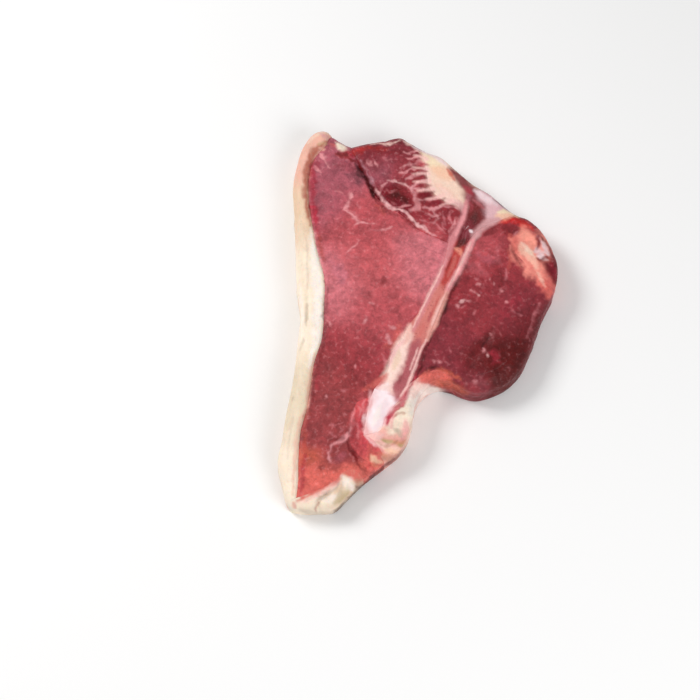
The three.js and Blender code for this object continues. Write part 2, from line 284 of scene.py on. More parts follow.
# %% The four sides of each tissue: near, right, far and left
# Each side runs to the right or away from the camera. It is a list of groups, and a group is a list of
# stretches.
SIDES = {
    "strip_loin": (
        [[stretch("tailFat"), back("rim", "flankEnd", "loinEnd")]],
        [[back("flankLeft")], [back("gristleLoin"), back("boneLeft")], [back("marbled")]],
        [[stretch("rim", "capTop", "loinTop")]],
        [[back("backFat", 12, 16)], [back("backFat", 5, 12)], [back("backFat", 0, 5)]],
    ),
    "marbled_muscle": (
        [[back("boneArm", 4, 7)]],
        [[back("boneArm", 0, 4)]],
        [[stretch("rim", "loinTop", "boneTop")]],
        [[back("marbled")]],
    ),
    "tenderloin": (
        [[stretch("filletFat"), back("rim", "filletCorner", "filletEnd")]],
        [[back("rim", "kidneyEnd", "filletCorner"), back("kidney")]],
        [[stretch("rim", "filletTop", "kidneyTop")]],
        [[back("boneRight")]],
    ),
    "flank_muscle": (
        [[back("rim", "flankSide", "flankEnd")]],
        [[back("flankRight")], [back("gristleFlank")]],
        [[back("flankLeft", 0, 1)]],
        [[back("flankLeft", 4, 6)], [back("flankLeft", 1, 4)]],
    ),
    "back_fat": (
        [[back("fatCorner")]],
        [[back("backFat")]],
        [[stretch("rim", "capShoulder", "capTop")]],
        [[stretch("rim", "capEnd", "capShoulder")]],
    ),
    "tail_fat": (
        [[back("rim", "tailCorner", "capEnd")]],
        [[back("rim", "loinEnd", "tailCorner")]],
        [[stretch("tailFat")]],
        [[back("fatCorner")]],
    ),
    "flank_fat": (
        [[stretch("flankRight")]],
        [[back("rim", "notchSide", "flankSide")], [back("rim", "notchTop", "notchSide")],
         [back("rim", "filletEnd", "notchTop")]],
        [[stretch("filletFat", 3, 4)]],
        [[back("gristleFat")], [back("boneFat")], [stretch("filletFat", 0, 3)]],
    ),
    "kidney_fat": (
        [[stretch("kidney", 5, 6)]],
        [[back("rim", "kidneyTop", "kidneyEnd")]],
        [[back("kidney", 0, 1)]],
        [[back("kidney", 1, 5)]],
    ),
    "t_bone": (
        [[stretch("gristleTop")]],
        [[back("boneFat"), back("boneRight", 3, 8)], [back("boneRight", 1, 3)], [back("boneRight", 0, 1)]],
        [[stretch("rim", "boneTop", "filletTop")]],
        [[back("boneLeft")], [back("boneArm", 4, 7)], [back("boneArm", 0, 4)]],
    ),
    "gristle_tip": (
        [[stretch("gristleFlank")]],
        [[back("gristleFat")]],
        [[stretch("gristleTop")]],
        [[back("gristleLoin")]],
    ),
}
print("tissues:", ", ".join(SIDES))

# %% [markdown]
# ## A grid between four sides
#
# A grid with curved sides could be relaxed like a net from any start, but that takes thousands of passes.
# A Coons patch gives it at once: it adds the sheet between the left and right sides to the sheet between
# the near and far sides, and takes away the sheet between the four corners, which was counted twice.
# Sixty passes of the net then only even out the cells.

# %% The Coons patch
NET_PASSES = 60


def coons(near, right, far, left):
    """A grid of points: (1-u) left + u right + (1-v) near + v far, less the corners' bilinear sheet."""
    u = np.linspace(0, 1, len(near))[None, :, None]
    v = np.linspace(0, 1, len(left))[:, None, None]
    across = left[:, None] * (1 - u) + right[:, None] * u
    along = near[None] * (1 - v) + far[None] * v
    sheet = (near[0] * (1 - u) + near[-1] * u) * (1 - v) + (far[0] * (1 - u) + far[-1] * u) * v
    grid = across + along - sheet
    for turn in range(NET_PASSES):
        grid[1:-1, 1:-1] = (grid[:-2, 1:-1] + grid[2:, 1:-1] + grid[1:-1, :-2] + grid[1:-1, 2:]) / 4
    return grid


def plan_of(tissue):
    """The plan grid of a tissue, and its border ring with outward directions, from the near left corner."""
    near, right, far, left = SIDES[tissue]
    near, far = opposite_sides(near, far)
    right, left = opposite_sides(right, left)
    corners = ((near, 0, left, 0), (near, -1, right, 0), (far, 0, left, -1), (far, -1, right, -1))
    for one, row, other, column in corners:
        known = one[row] if np.any(one[row, 2:4]) else other[column]
        one[row] = other[column] = known
    grid = coons(near[:, :2], right[:, :2], far[:, :2], left[:, :2])
    return grid, np.vstack([near[:-1], right[:-1], far[:0:-1], left[:0:-1]])


grids, rings = {}, {}
for tissue in SIDES:
    grids[tissue], rings[tissue] = plan_of(tissue)
    print(tissue, "has a grid of", grids[tissue].shape[:2])

# %% [markdown]
# ## The relief of the cut face
#
# A sawn steak isn't flat. Meat sags a little away from the bone, fat stands proud where it shrinks less,
# and a deep crease opens where one muscle slides on another. All of it is one height over the plan,
# worked out from the distance to named lines, so two neighbours get the same height along the seam that
# they share. A sculpted mesh could carry the same forms, but not as values that can be read and changed.

# %% The distance to a line
PIECE_OF_LINE = 24


def distance_to(line, x, y, reach):
    """Each place's distance from a polyline, at most reach, and where along it the nearest point lies.

    That is a share of the line's steps, 0 to 1. The line is taken in pieces, and each piece
    looks only at the places in its own box grown by the reach.
    """
    distance, share = np.full(x.shape, float(reach)), np.zeros(x.shape)
    for first in range(0, len(line) - 1, PIECE_OF_LINE):
        part = line[first:first + PIECE_OF_LINE + 1]
        low, high = part.min(0) - reach, part.max(0) + reach
        near = np.flatnonzero((x > low[0]) & (x < high[0]) & (y > low[1]) & (y < high[1]))
        if not near.size:
            continue
        step = np.diff(part, axis=0)
        px = x[near, None] - part[:-1, 0]
        py = y[near, None] - part[:-1, 1]
        t = np.clip((px * step[:, 0] + py * step[:, 1]) / np.maximum((step**2).sum(1), 1e-9), 0, 1)
        gaps = np.hypot(px - t * step[:, 0], py - t * step[:, 1])
        rows, nearest = np.arange(len(near)), gaps.argmin(1)
        closer = gaps[rows, nearest] < distance[near]
        distance[near[closer]] = gaps[rows, nearest][closer]
        share[near[closer]] = ((first + nearest + t[rows, nearest]) / (len(line) - 1))[closer]
    return distance, share


def own_seams(tissue):
    """The names of the seams round a tissue, found by the lines that its border ring touches."""
    ring = rings[tissue]
    inside = ring[~np.any(ring[:, 2:4], axis=1)]
    return [name for name, line in seam_lines.items()
            if (distance_to(line, inside[:, 0], inside[:, 1], 1.0)[0] < 0.05).sum() > 4]


for tissue in SIDES:
    print(tissue, "lies between", own_seams(tissue))

# %% Smooth noise
NOISE_TURN = math.radians(31)
NOISE_TABLE = 64


def noise(x, y, size, seed):
    """Smooth random numbers from -1 to 1: a turned lattice of them, blended by 6t^5 - 15t^4 + 10t^3."""
    table = np.random.default_rng(seed).uniform(-1, 1, (NOISE_TABLE, NOISE_TABLE))
    u = (x * math.cos(NOISE_TURN) - y * math.sin(NOISE_TURN)) / size
    v = (x * math.sin(NOISE_TURN) + y * math.cos(NOISE_TURN)) / size
    i, j = np.floor(u).astype(int), np.floor(v).astype(int)
    s, t = (w**3 * (w * (6 * w - 15) + 10) for w in (u - i, v - j))
    a, b = (table[(i + step) % NOISE_TABLE, j % NOISE_TABLE] for step in (0, 1))
    c, d = (table[(i + step) % NOISE_TABLE, (j + 1) % NOISE_TABLE] for step in (0, 1))
    return (a * (1 - s) + b * s) * (1 - t) + (c * (1 - s) + d * s) * t


def grain(x, y, size, seed, octaves=3):
    """Noise with finer noise on it, each octave half the size and half the height."""
    return sum(noise(x, y, size / 2**k, seed + k) / 2**k for k in range(octaves))


def hump(distance, width):
    """0 on a line, 1 from width on: 1 - (1 - d/w)^2, steep at the line and level where it ends."""
    return 1 - np.maximum(0, 1 - distance / width)**2


test_places = np.arange(0.0, 30.0, 6.0)
print("noise of 5 mm at five places:", np.round(noise(test_places, np.zeros(5), 5.0, 11), 2))

# %% What the height is made of, in mm
LOIN_THICKNESS = 22.0
TAIL_THICKNESS = 16.0
TAIL_STARTS_Y = -50.0
TAIL_ENDS_Y = -111.0
WAVE = 0.35
WAVE_LENGTH = 58.0
EDGE_DROP = 0.62
# Along a seam: how deep the groove is, and how far it reaches into firm tissue.
GROOVES = {
    "backFat": (0.7, 2.2), "fatCorner": (0.1, 1.0), "tailFat": (0.2, 2.0), "marbled": (0.5, 2.0),
    "boneArm": (0.0, 1.4), "boneLeft": (0.3, 2.0), "gristleTop": (0.0, 1.5), "gristleLoin": (0.1, 1.5),
    "gristleFlank": (0.1, 1.5), "gristleFat": (0.3, 1.6), "flankLeft": (0.3, 1.5), "flankRight": (0.2, 1.5),
    "boneRight": (0.35, 3.0), "boneFat": (0.2, 1.5), "filletFat": (0.2, 2.2), "kidney": (0.1, 1.8),
}
# How much of that reach a tissue takes: soft muscle rounds off widely, and hard bone hardly at all.
FIRMNESS = {
    "strip_loin": 1.0, "marbled_muscle": 0.55, "tenderloin": 1.0, "flank_muscle": 1.0, "back_fat": 0.6,
    "tail_fat": 0.7, "flank_fat": 0.7, "kidney_fat": 0.7, "t_bone": 0.25, "gristle_tip": 0.5,
}
# How far a tissue stands above its seams, or sinks below them, and how wide the slope is.
RISES = {
    "strip_loin": (0.0, 9.0), "marbled_muscle": (0.25, 4.0), "tenderloin": (-0.7, 6.0),
    "flank_muscle": (-0.3, 5.0), "back_fat": (0.9, 3.0), "tail_fat": (0.1, 5.0), "flank_fat": (0.2, 3.0),
    "kidney_fat": (0.1, 4.0), "t_bone": (0.15, 2.0), "gristle_tip": (0.2, 5.0),
}
# The height and size of a tissue's lumps, and of the finer ones on them.
LUMPS = {
    "strip_loin": (0.16, 5.0, 0.07, 1.3), "marbled_muscle": (0.25, 4.0, 0.09, 1.4),
    "tenderloin": (0.22, 5.0, 0.08, 1.4), "flank_muscle": (0.3, 4.0, 0.08, 1.4),
    "back_fat": (0.35, 7.0, 0.08, 1.8), "tail_fat": (0.7, 5.0, 0.14, 1.8),
    "flank_fat": (0.45, 4.5, 0.10, 1.6), "kidney_fat": (0.4, 5.0, 0.08, 1.6),
    "t_bone": (0.12, 4.0, 0.08, 1.1), "gristle_tip": (0.3, 6.0, 0.06, 2.0),
}
# Single folds: depth, reach to either side, and the line that they follow.
CREASES = {
    "gap between the two muscles": (2.1, 2.8, [
        (-34.6, 91), (-31.6, 87), (-29, 82), (-27, 76.6), (-25, 71.6), (-21.6, 67), (-18, 63)]),
    "fold across the tenderloin": (0.9, 3.2, [
        (39, -12), (38, -15), (35, -20), (32, -25), (28.5, -30), (25.5, -34.5), (22, -38.5)]),
    "pull beside the tail's swirl": (0.6, 2.0, [(-38.5, -77), (-36, -82), (-33, -87), (-29, -92.5)]),
    "fold of the tail fat": (1.6, 2.0, [(-57, -114), (-54.5, -109.5), (-51.5, -105.5), (-47.5, -103.5)]),
    "second fold of the tail fat": (0.8, 1.7, [
        (-46, -110.6), (-43.4, -106), (-41.6, -101.4), (-40.6, -97)]),
    "third fold of the tail fat": (0.9, 1.5, [(-64, -112), (-60, -108.8), (-56.6, -107)]),
    "step in the back fat": (0.5, 2.0, [(-60, 4), (-61.5, -4), (-61, -11), (-63, -19), (-65.5, -27)]),
    "hollow at the bone's fork": (1.4, 2.4, [(27, 50), (24.5, 46), (23.5, 41), (20.5, 36)]),
    "crease in the flank fat": (0.7, 1.6, [(-6, -53), (-10.5, -57), (-15.5, -61.5), (-20, -67.5)]),
    "notch crease": (0.6, 1.6, [(2.5, -38.5), (5, -38), (9, -39), (14, -41.5)]),
}

print("seams with a groove:", len(GROOVES), "and single creases:", len(CREASES))

# %% The height over the plan
THINNED = 4
RIM_LOOP = np.vstack([rim_line, rim_line[:1]])[::THINNED]
SEAM_REACH = 12.0
LUMPS_START = 3.0
FINE_LUMPS_START = 1.0
CREASE_ENDS = 6
LUMP_SEED = 11
FINE_LUMP_SEED = 23


def thickness(y):
    """The slice's thickness in mm, which falls by a smooth step towards the tail."""
    return LOIN_THICKNESS - (LOIN_THICKNESS - TAIL_THICKNESS) * smoothstep(-y, -TAIL_STARTS_Y, -TAIL_ENDS_Y)


def edge_at(x, y):
    """The distance from the rim, and the edge's width at the nearest place of the rim."""
    distance, share = distance_to(RIM_LOOP, x, y, MEAT_EDGE)
    places = np.linspace(0, 1, len(edge_width) + 1)
    return distance, np.interp(share, places, np.append(edge_width, edge_width[0]))


def height(tissue, x, y):
    """Height in mm: slice + wave - round edge - deepest groove + the tissue's own rise and lumps -
    creases.

    The edge falls by b (1 - sqrt(1 - s^2)), where s grows from 0 at the edge's width to 1 at the rim. A
    crease fades at both its ends.
    """
    wave_x = np.sin(2 * math.pi * (x + y / 2) / WAVE_LENGTH)
    wave_y = np.cos(2 * math.pi * (y - x / 2) / WAVE_LENGTH)
    z = thickness(y) + WAVE * wave_x * wave_y
    edge, width = edge_at(x, y)
    s = np.clip(1 - edge / width, 0, 1)
    z -= EDGE_DROP * width * (1 - np.sqrt(1 - s * s))
    groove = np.zeros(x.shape)
    to_own = np.full(x.shape, SEAM_REACH)
    for name in own_seams(tissue):
        distance, share = distance_to(seam_lines[name][::THINNED], x, y, SEAM_REACH)
        depth, reach = GROOVES[name]
        groove = np.maximum(groove, depth * (1 - hump(distance, reach * FIRMNESS[tissue])))
        to_own = np.minimum(to_own, distance)
    rise, rise_width = RISES[tissue]
    z += rise * hump(to_own, rise_width) - groove
    lump, lump_size, fine, fine_size = LUMPS[tissue]
    z += hump(to_own, LUMPS_START) * lump * grain(x, y, lump_size, LUMP_SEED, 2)
    z += hump(to_own, FINE_LUMPS_START) * fine * grain(x, y, fine_size, FINE_LUMP_SEED, 2)
    for depth, reach, points in CREASES.values():
        line = catmull_rom(points, samples=6)
        distance, share = distance_to(line, x, y, reach)
        z -= depth * (1 - smoothstep(distance, 0, reach)) * np.clip(CREASE_ENDS * share * (1 - share), 0, 1)
    return z


print("thickness at the loin and the tail, mm:", thickness(0.0), thickness(TAIL_ENDS_Y))

# %% [markdown]
# ## Painting the cut face
#
# The marbling, the blood and the marrow aren't shapes but colour in the tissue. An image could hold them,
# but strokes stay sharp at any size and need no picture. So each vein is a stroke: a smooth line with a
# colour, a width and a strength, laid over washes of the tissue's own colours, and stored on the
# vertices. The fatty strokes are stored a second time as a number, so that the finish can be waxy on fat
# and wet on muscle. Some strokes are painted light instead: painted shade in creases, at the foot of
# raised tissue and on the lower edges and walls, and a few painted highlights and glints.

# %% The butcher's palette
PALETTE = {
    "cherry": (186, 85, 91), "light_cherry": (192, 88, 92), "rose": (207, 116, 124),
    "lilac_meat": (190, 112, 128), "mauve": (170, 90, 102), "russet": (154, 68, 70),
    "brick": (204, 98, 78), "plum": (138, 56, 64), "wine": (116, 24, 36), "garnet": (152, 58, 64),
    "crimson": (168, 52, 66), "hot_crimson": (190, 50, 70), "blood": (200, 46, 44),
    "hot_red": (218, 40, 38), "scarlet": (176, 50, 46), "dark": (84, 16, 22), "black_red": (50, 8, 14),
    "dark_red": (128, 24, 22), "coral": (220, 106, 96), "rust": (180, 78, 68), "maroon": (122, 30, 44),
    "dusk": (112, 40, 42), "umber": (96, 26, 24), "slate": (104, 66, 76), "orange_meat": (208, 98, 78),
    "flank_red": (205, 84, 88), "grey_brown": (124, 84, 84), "ivory": (229, 198, 168),
    "cream": (251, 233, 212), "white_fat": (255, 244, 236), "butter": (230, 212, 186),
    "peach_fat_and_highlight": (237, 182, 163), "fat_shade_tan": (178, 102, 84), "olive_tan": (202, 174, 134),
    "shell_pink": (252, 212, 202), "fascia": (222, 152, 156), "pale_fascia_and_glint": (240, 184, 184),
    "vein": (228, 152, 156), "dim_vein": (202, 118, 124), "lilac_vein": (206, 146, 158),
    "lilac": (226, 180, 186), "lilac_white": (240, 214, 218), "pearl": (255, 236, 240),
    "peach": (244, 148, 134), "pale_peach": (245, 188, 168), "orange_fat": (244, 158, 140),
    "salmon": (212, 108, 102), "pink_bone": (240, 160, 164), "pale_bone": (252, 200, 194),
    "cortex_mauve": (216, 136, 141), "lilac_pink": (216, 160, 162), "pink_beige": (236, 168, 156),
    "butter_bone": (249, 226, 192), "peach_bone": (248, 198, 168), "bone_cream": (248, 214, 194),
    "cream_strip": (255, 220, 208), "marrow_red": (186, 60, 56), "orange_pink": (240, 150, 128),
    "salmon_marrow": (212, 122, 114), "marrow_low": (176, 88, 94), "bark": (62, 34, 22),
    "olive": (176, 160, 108), "grey_fat_and_shade": (186, 168, 150), "brown": (184, 130, 110),
    "tan_orange": (208, 142, 108),
}
FATTY = {
    "ivory", "cream", "white_fat", "butter", "peach_fat_and_highlight", "fat_shade_tan", "olive_tan", "shell_pink", "fascia",
    "pale_fascia_and_glint", "vein", "dim_vein", "lilac_vein", "lilac", "lilac_white", "pearl", "peach", "pale_peach",
    "orange_fat", "salmon", "pink_bone", "pale_bone", "cortex_mauve", "lilac_pink", "pink_beige",
    "butter_bone", "peach_bone", "bone_cream", "cream_strip", "olive", "grey_fat_and_shade", "brown", "tan_orange",
}
SHINE = 0.012
DARKEST = 0.004


def linear(name):
    """A palette colour as scene-linear numbers, by the sRGB curve.

    The wet surface mirrors the pale room, which adds a little white everywhere, so that much is taken off
    first.
    """
    value = np.array(PALETTE[name]) / 255
    seen = np.where(value <= 0.04045, value / 12.92, ((value + 0.055) / 1.055)**2.4)
    return np.maximum(seen - SHINE, DARKEST)


print("colours:", len(PALETTE), "of which fatty:", len(FATTY))

# %% Washes: each tissue's own colours, as name, x, y and radius in mm
WASHES = {
    "strip_loin": [
        ("mauve", -44, 84, 13), ("mauve", -51, 61, 9), ("cherry", -34, 50, 16), ("rose", -46, 14, 16),
        ("light_cherry", -26, 22, 16), ("rose", -2, 26, 12), ("cherry", -26, -8, 16),
        ("garnet", -38, -26, 15), ("russet", -46, -50, 16), ("russet", -48, -74, 13),
        ("brick", -60, -84, 5), ("coral", -54, -102, 10), ("coral", -36, -94, 5)],
    "marbled_muscle": [
        ("plum", -22, 92, 12), ("mauve", -18, 84, 7), ("garnet", -4, 80, 9), ("maroon", -12, 68, 7),
        ("garnet", 9, 56, 10), ("cherry", 4, 48, 6)],
    "tenderloin": [
        ("cherry", 36, 34, 8), ("garnet", 46, 22, 14), ("garnet", 30, -4, 12), ("plum", 50, 0, 14),
        ("plum", 18, -18, 12), ("umber", 46, -30, 13), ("dusk", 60, -10, 9), ("dusk", 27, -30, 7),
        ("plum", 26, -46, 7), ("plum", 14, -34, 8)],
    "flank_muscle": [
        ("flank_red", -33, -58, 9), ("garnet", -36, -72, 6), ("flank_red", -30, -78, 7),
        ("coral", -27, -90, 6)],
    "back_fat": [
        ("peach_fat_and_highlight", -63, 92, 14), ("ivory", -65, 56, 16), ("cream", -62, 20, 20),
        ("cream", -60, -8, 20), ("butter", -66, -56, 20), ("cream", -71, -96, 18)],
    "tail_fat": [
        ("cream", -60, -108, 10), ("ivory", -42, -102, 10)],
    "flank_fat": [
        ("pink_beige", -16, -80, 10), ("cream", -8, -62, 8), ("pearl", -18, -60, 4),
        ("shell_pink", -4, -50, 6), ("salmon", 5, -42, 6), ("plum", 18, -44, 8)],
    "kidney_fat": [
        ("garnet", 55, 47, 6), ("garnet", 53, 28, 4), ("peach", 60, 34, 8), ("maroon", 73, 26, 7),
        ("salmon", 68, 12, 6)],
    "t_bone": [
        ("bone_cream", 14, 79, 10), ("lilac", 43, 61, 6), ("maroon", 31, 57, 8), ("maroon", 27, 48, 6),
        ("marrow_red", 17, 26, 8), ("salmon_marrow", 6, -2, 12), ("marrow_low", -8, -36, 10),
        ("pale_fascia_and_glint", -19, -48, 5)],
    "gristle_tip": [
        ("pale_fascia_and_glint", -27, -56, 5), ("rose", -11, -54, 4), ("pearl", -21, -58, 7),
        ("pale_fascia_and_glint", -30, -68, 5), ("shell_pink", -19, -70, 6)],
}
WASH_WARP = 3.0
WASH_WARP_SIZE = 14.0


def wash(tissue, x, y):
    """The washes' mean colour and fattiness, weighted by exp(-(d/r)^2), over places moved by noise."""
    moved_x = x + WASH_WARP * grain(x, y, WASH_WARP_SIZE, 61, 2)
    moved_y = y + WASH_WARP * grain(x, y, WASH_WARP_SIZE, 64, 2)
    total = np.zeros((len(x), 5))
    for name, at_x, at_y, radius in WASHES[tissue]:
        weight = np.exp(-((moved_x - at_x)**2 + (moved_y - at_y)**2) / radius**2) + 1e-6
        total += weight[:, None] * np.array([*linear(name), name in FATTY, 1])
    return total[:, :3] / total[:, 4:], total[:, 3] / total[:, 4]


print("washes:", sum(len(washes) for washes in WASHES.values()))

# %% Strokes of the back fat, each as colour, strength, widths spread along it, and points, in mm
FAT_STROKES = [
    # Painted highlight: a light peach band down the outer side of the fat cap, which faces the light.
    ("peach_fat_and_highlight", 0.8, (2.4, 2.6, 2.4, 1.8), [
        (-56.5, 105.5), (-61, 100), (-64.3, 93), (-65.6, 84), (-66.2, 76)]),
    ("cream", 0.5, (2.4, 3.0, 2.4), [(-62.4, 103.4), (-57.4, 108.4), (-51, 110)]),
    # Painted shade: the tan band down the inner side of the fat cap is its slope down to the meat, in
    # shade.
    ("fat_shade_tan", 0.95, (3.6, 4.2, 4.2, 3.4, 2.4, 1.4), [
        (-52, 103.5), (-56, 99.5), (-60, 93.5), (-62, 85), (-62.8, 76), (-62.8, 68), (-61.8, 59),
        (-59.8, 50)]),
    ("olive_tan", 0.6, (2.4, 2.0), [(-56, 102), (-53.5, 103), (-51.5, 102)]),
    # A small painted highlight on top of the fat cap.
    ("peach_fat_and_highlight", 0.7, (2.0, 1.6), [(-55.5, 99.8), (-52.5, 98.6)]),
    ("fascia", 0.6, (2.4, 3.0), [(-54, 108.5), (-50.5, 106.5)]),
    # Painted shade: a darker brown line at the foot of that shaded slope.
    ("brown", 0.55, (1.3, 1.2, 1.0), [(-60.6, 88), (-61.4, 78), (-61.4, 68), (-60.2, 58)]),
    ("white_fat", 0.85, (1.4, 3.6, 5.2, 5.0, 4.6, 4.0, 2.6), [
        (-60, 47), (-58.8, 38), (-57.2, 30), (-56.2, 20), (-55.3, 8), (-55.8, -4), (-56, -16),
        (-57.6, -26), (-60, -35)]),
    ("butter", 0.5, (3.0, 3.8, 3.8, 3.0), [(-66, 56), (-65.2, 38), (-64.3, 22), (-63.6, 8)]),
    # Painted shade: the grey and olive lines from here to the next white stroke lie in the groove and the
    # step of the back fat.
    ("grey_fat_and_shade", 0.4, (1.0, 1.3, 1.0), [(-62.4, 42), (-61.6, 30), (-61.2, 18), (-61.8, 8)]),
    ("olive", 0.3, (1.8, 2.4, 2.0), [(-62.5, 9), (-61.8, 0), (-61, -8)]),
    ("grey_fat_and_shade", 0.6, (1.1, 1.6, 1.0), [(-61.8, 2), (-61.4, -5), (-61.2, -11)]),
    ("grey_fat_and_shade", 0.6, (1.1, 1.8, 1.0), [(-63, -18.5), (-64, -21.5), (-65.6, -25.5)]),
    ("white_fat", 0.6, (1.6, 2.0, 1.6), [(-66, 14), (-65, 0), (-64.2, -12), (-65.8, -20)]),
    ("butter", 0.5, (3.6, 4.6, 4.0), [(-62, -28), (-63.4, -44), (-65.4, -58)]),
    ("peach_fat_and_highlight", 0.65, (1.2, 1.8, 2.0, 2.2, 2.0), [
        (-56.4, -27), (-58.8, -36), (-60, -50), (-61.2, -60), (-64.6, -67), (-65.6, -74), (-66.4, -84),
        (-67.2, -95), (-68, -105)]),
    ("grey_fat_and_shade", 0.6, (1.2, 0.8), [(-68.6, -53), (-69.2, -55)]),
    # Painted shade: a grey line where the fat's left edge rolls down.
    ("grey_fat_and_shade", 0.35, (1.0, 1.4, 1.0), [(-68, -62), (-69.5, -74), (-71, -86)]),
    ("cream", 0.95, (4.0, 5.6, 4.4), [(-44.6, 103.4), (-42.8, 101.4), (-41.6, 99)]),
    ("salmon", 0.5, (2.4, 2.6), [(-49.5, 102.5), (-46.4, 100.5)]),
]
print("strokes of the back fat:", len(FAT_STROKES))

# %% Strokes of the meat beside the back fat, with painted shadow at the fat's foot, and of the blood at the top
LOIN_EDGE_STROKES = [
    ("crimson", 0.75, (2.4, 3.8, 4.6, 4.4, 2.4), [
        (-58.6, 90), (-59.4, 79), (-59, 68), (-57.8, 57), (-56.2, 47)]),
    ("hot_crimson", 0.65, (1.8, 2.6, 1.6), [(-58.6, 62), (-57.4, 54.5), (-56.4, 49)]),
    ("crimson", 0.5, (3.0, 3.4), [(-57, 93), (-55.5, 86)]),
    ("rust", 0.6, (2.0, 3.0, 2.2), [(-55.4, 43), (-53.8, 36), (-52.2, 28)]),
    ("vein", 0.85, (1.2, 1.7, 1.5, 1.2), [(-55, 97.5), (-53, 94), (-51, 89.5), (-49.5, 86.5)]),
    ("vein", 0.75, (1.4, 2.1, 1.2), [(-57, 88), (-55.6, 85), (-54, 83)]),
    # Painted shadow: the two dusky lines along the meat's side of the seam, at the foot of the raised fat.
    ("dusk", 0.55, (1.2, 1.7, 1.7, 1.7, 1.5), [
        (-51, 16), (-50.8, 6), (-51.5, -5), (-51.6, -16), (-53, -27), (-56, -36)]),
    ("dusk", 0.5, (1.2, 1.6, 1.2), [(-57.4, -38), (-57.8, -46), (-58.4, -56), (-60.4, -62)]),
    ("rust", 0.6, (1.8, 3.0, 3.2, 2.4, 1.8), [
        (-60, -60), (-62, -69), (-62, -77), (-62.8, -86), (-63.6, -94)]),
    ("crimson", 0.6, (1.8, 3.0, 3.0, 2.0), [(-62.4, -84), (-62.4, -92), (-62.6, -100), (-63.8, -105.5)]),
    ("scarlet", 0.75, (2.6, 4.2, 5.0, 4.4, 3.4, 2.2), [
        (-46, 95), (-41, 94.5), (-36, 96.5), (-30, 99.5), (-24, 99.5), (-17, 98.5)]),
    ("umber", 0.75, (1.8, 2.8, 1.8), [(-46, 95.5), (-42.5, 95), (-39.6, 94)]),
    ("hot_crimson", 0.75, (1.4, 2.2, 1.4), [(-39.4, 96), (-37.6, 95), (-36.2, 93.4)]),
]
print("strokes beside the back fat:", len(LOIN_EDGE_STROKES))

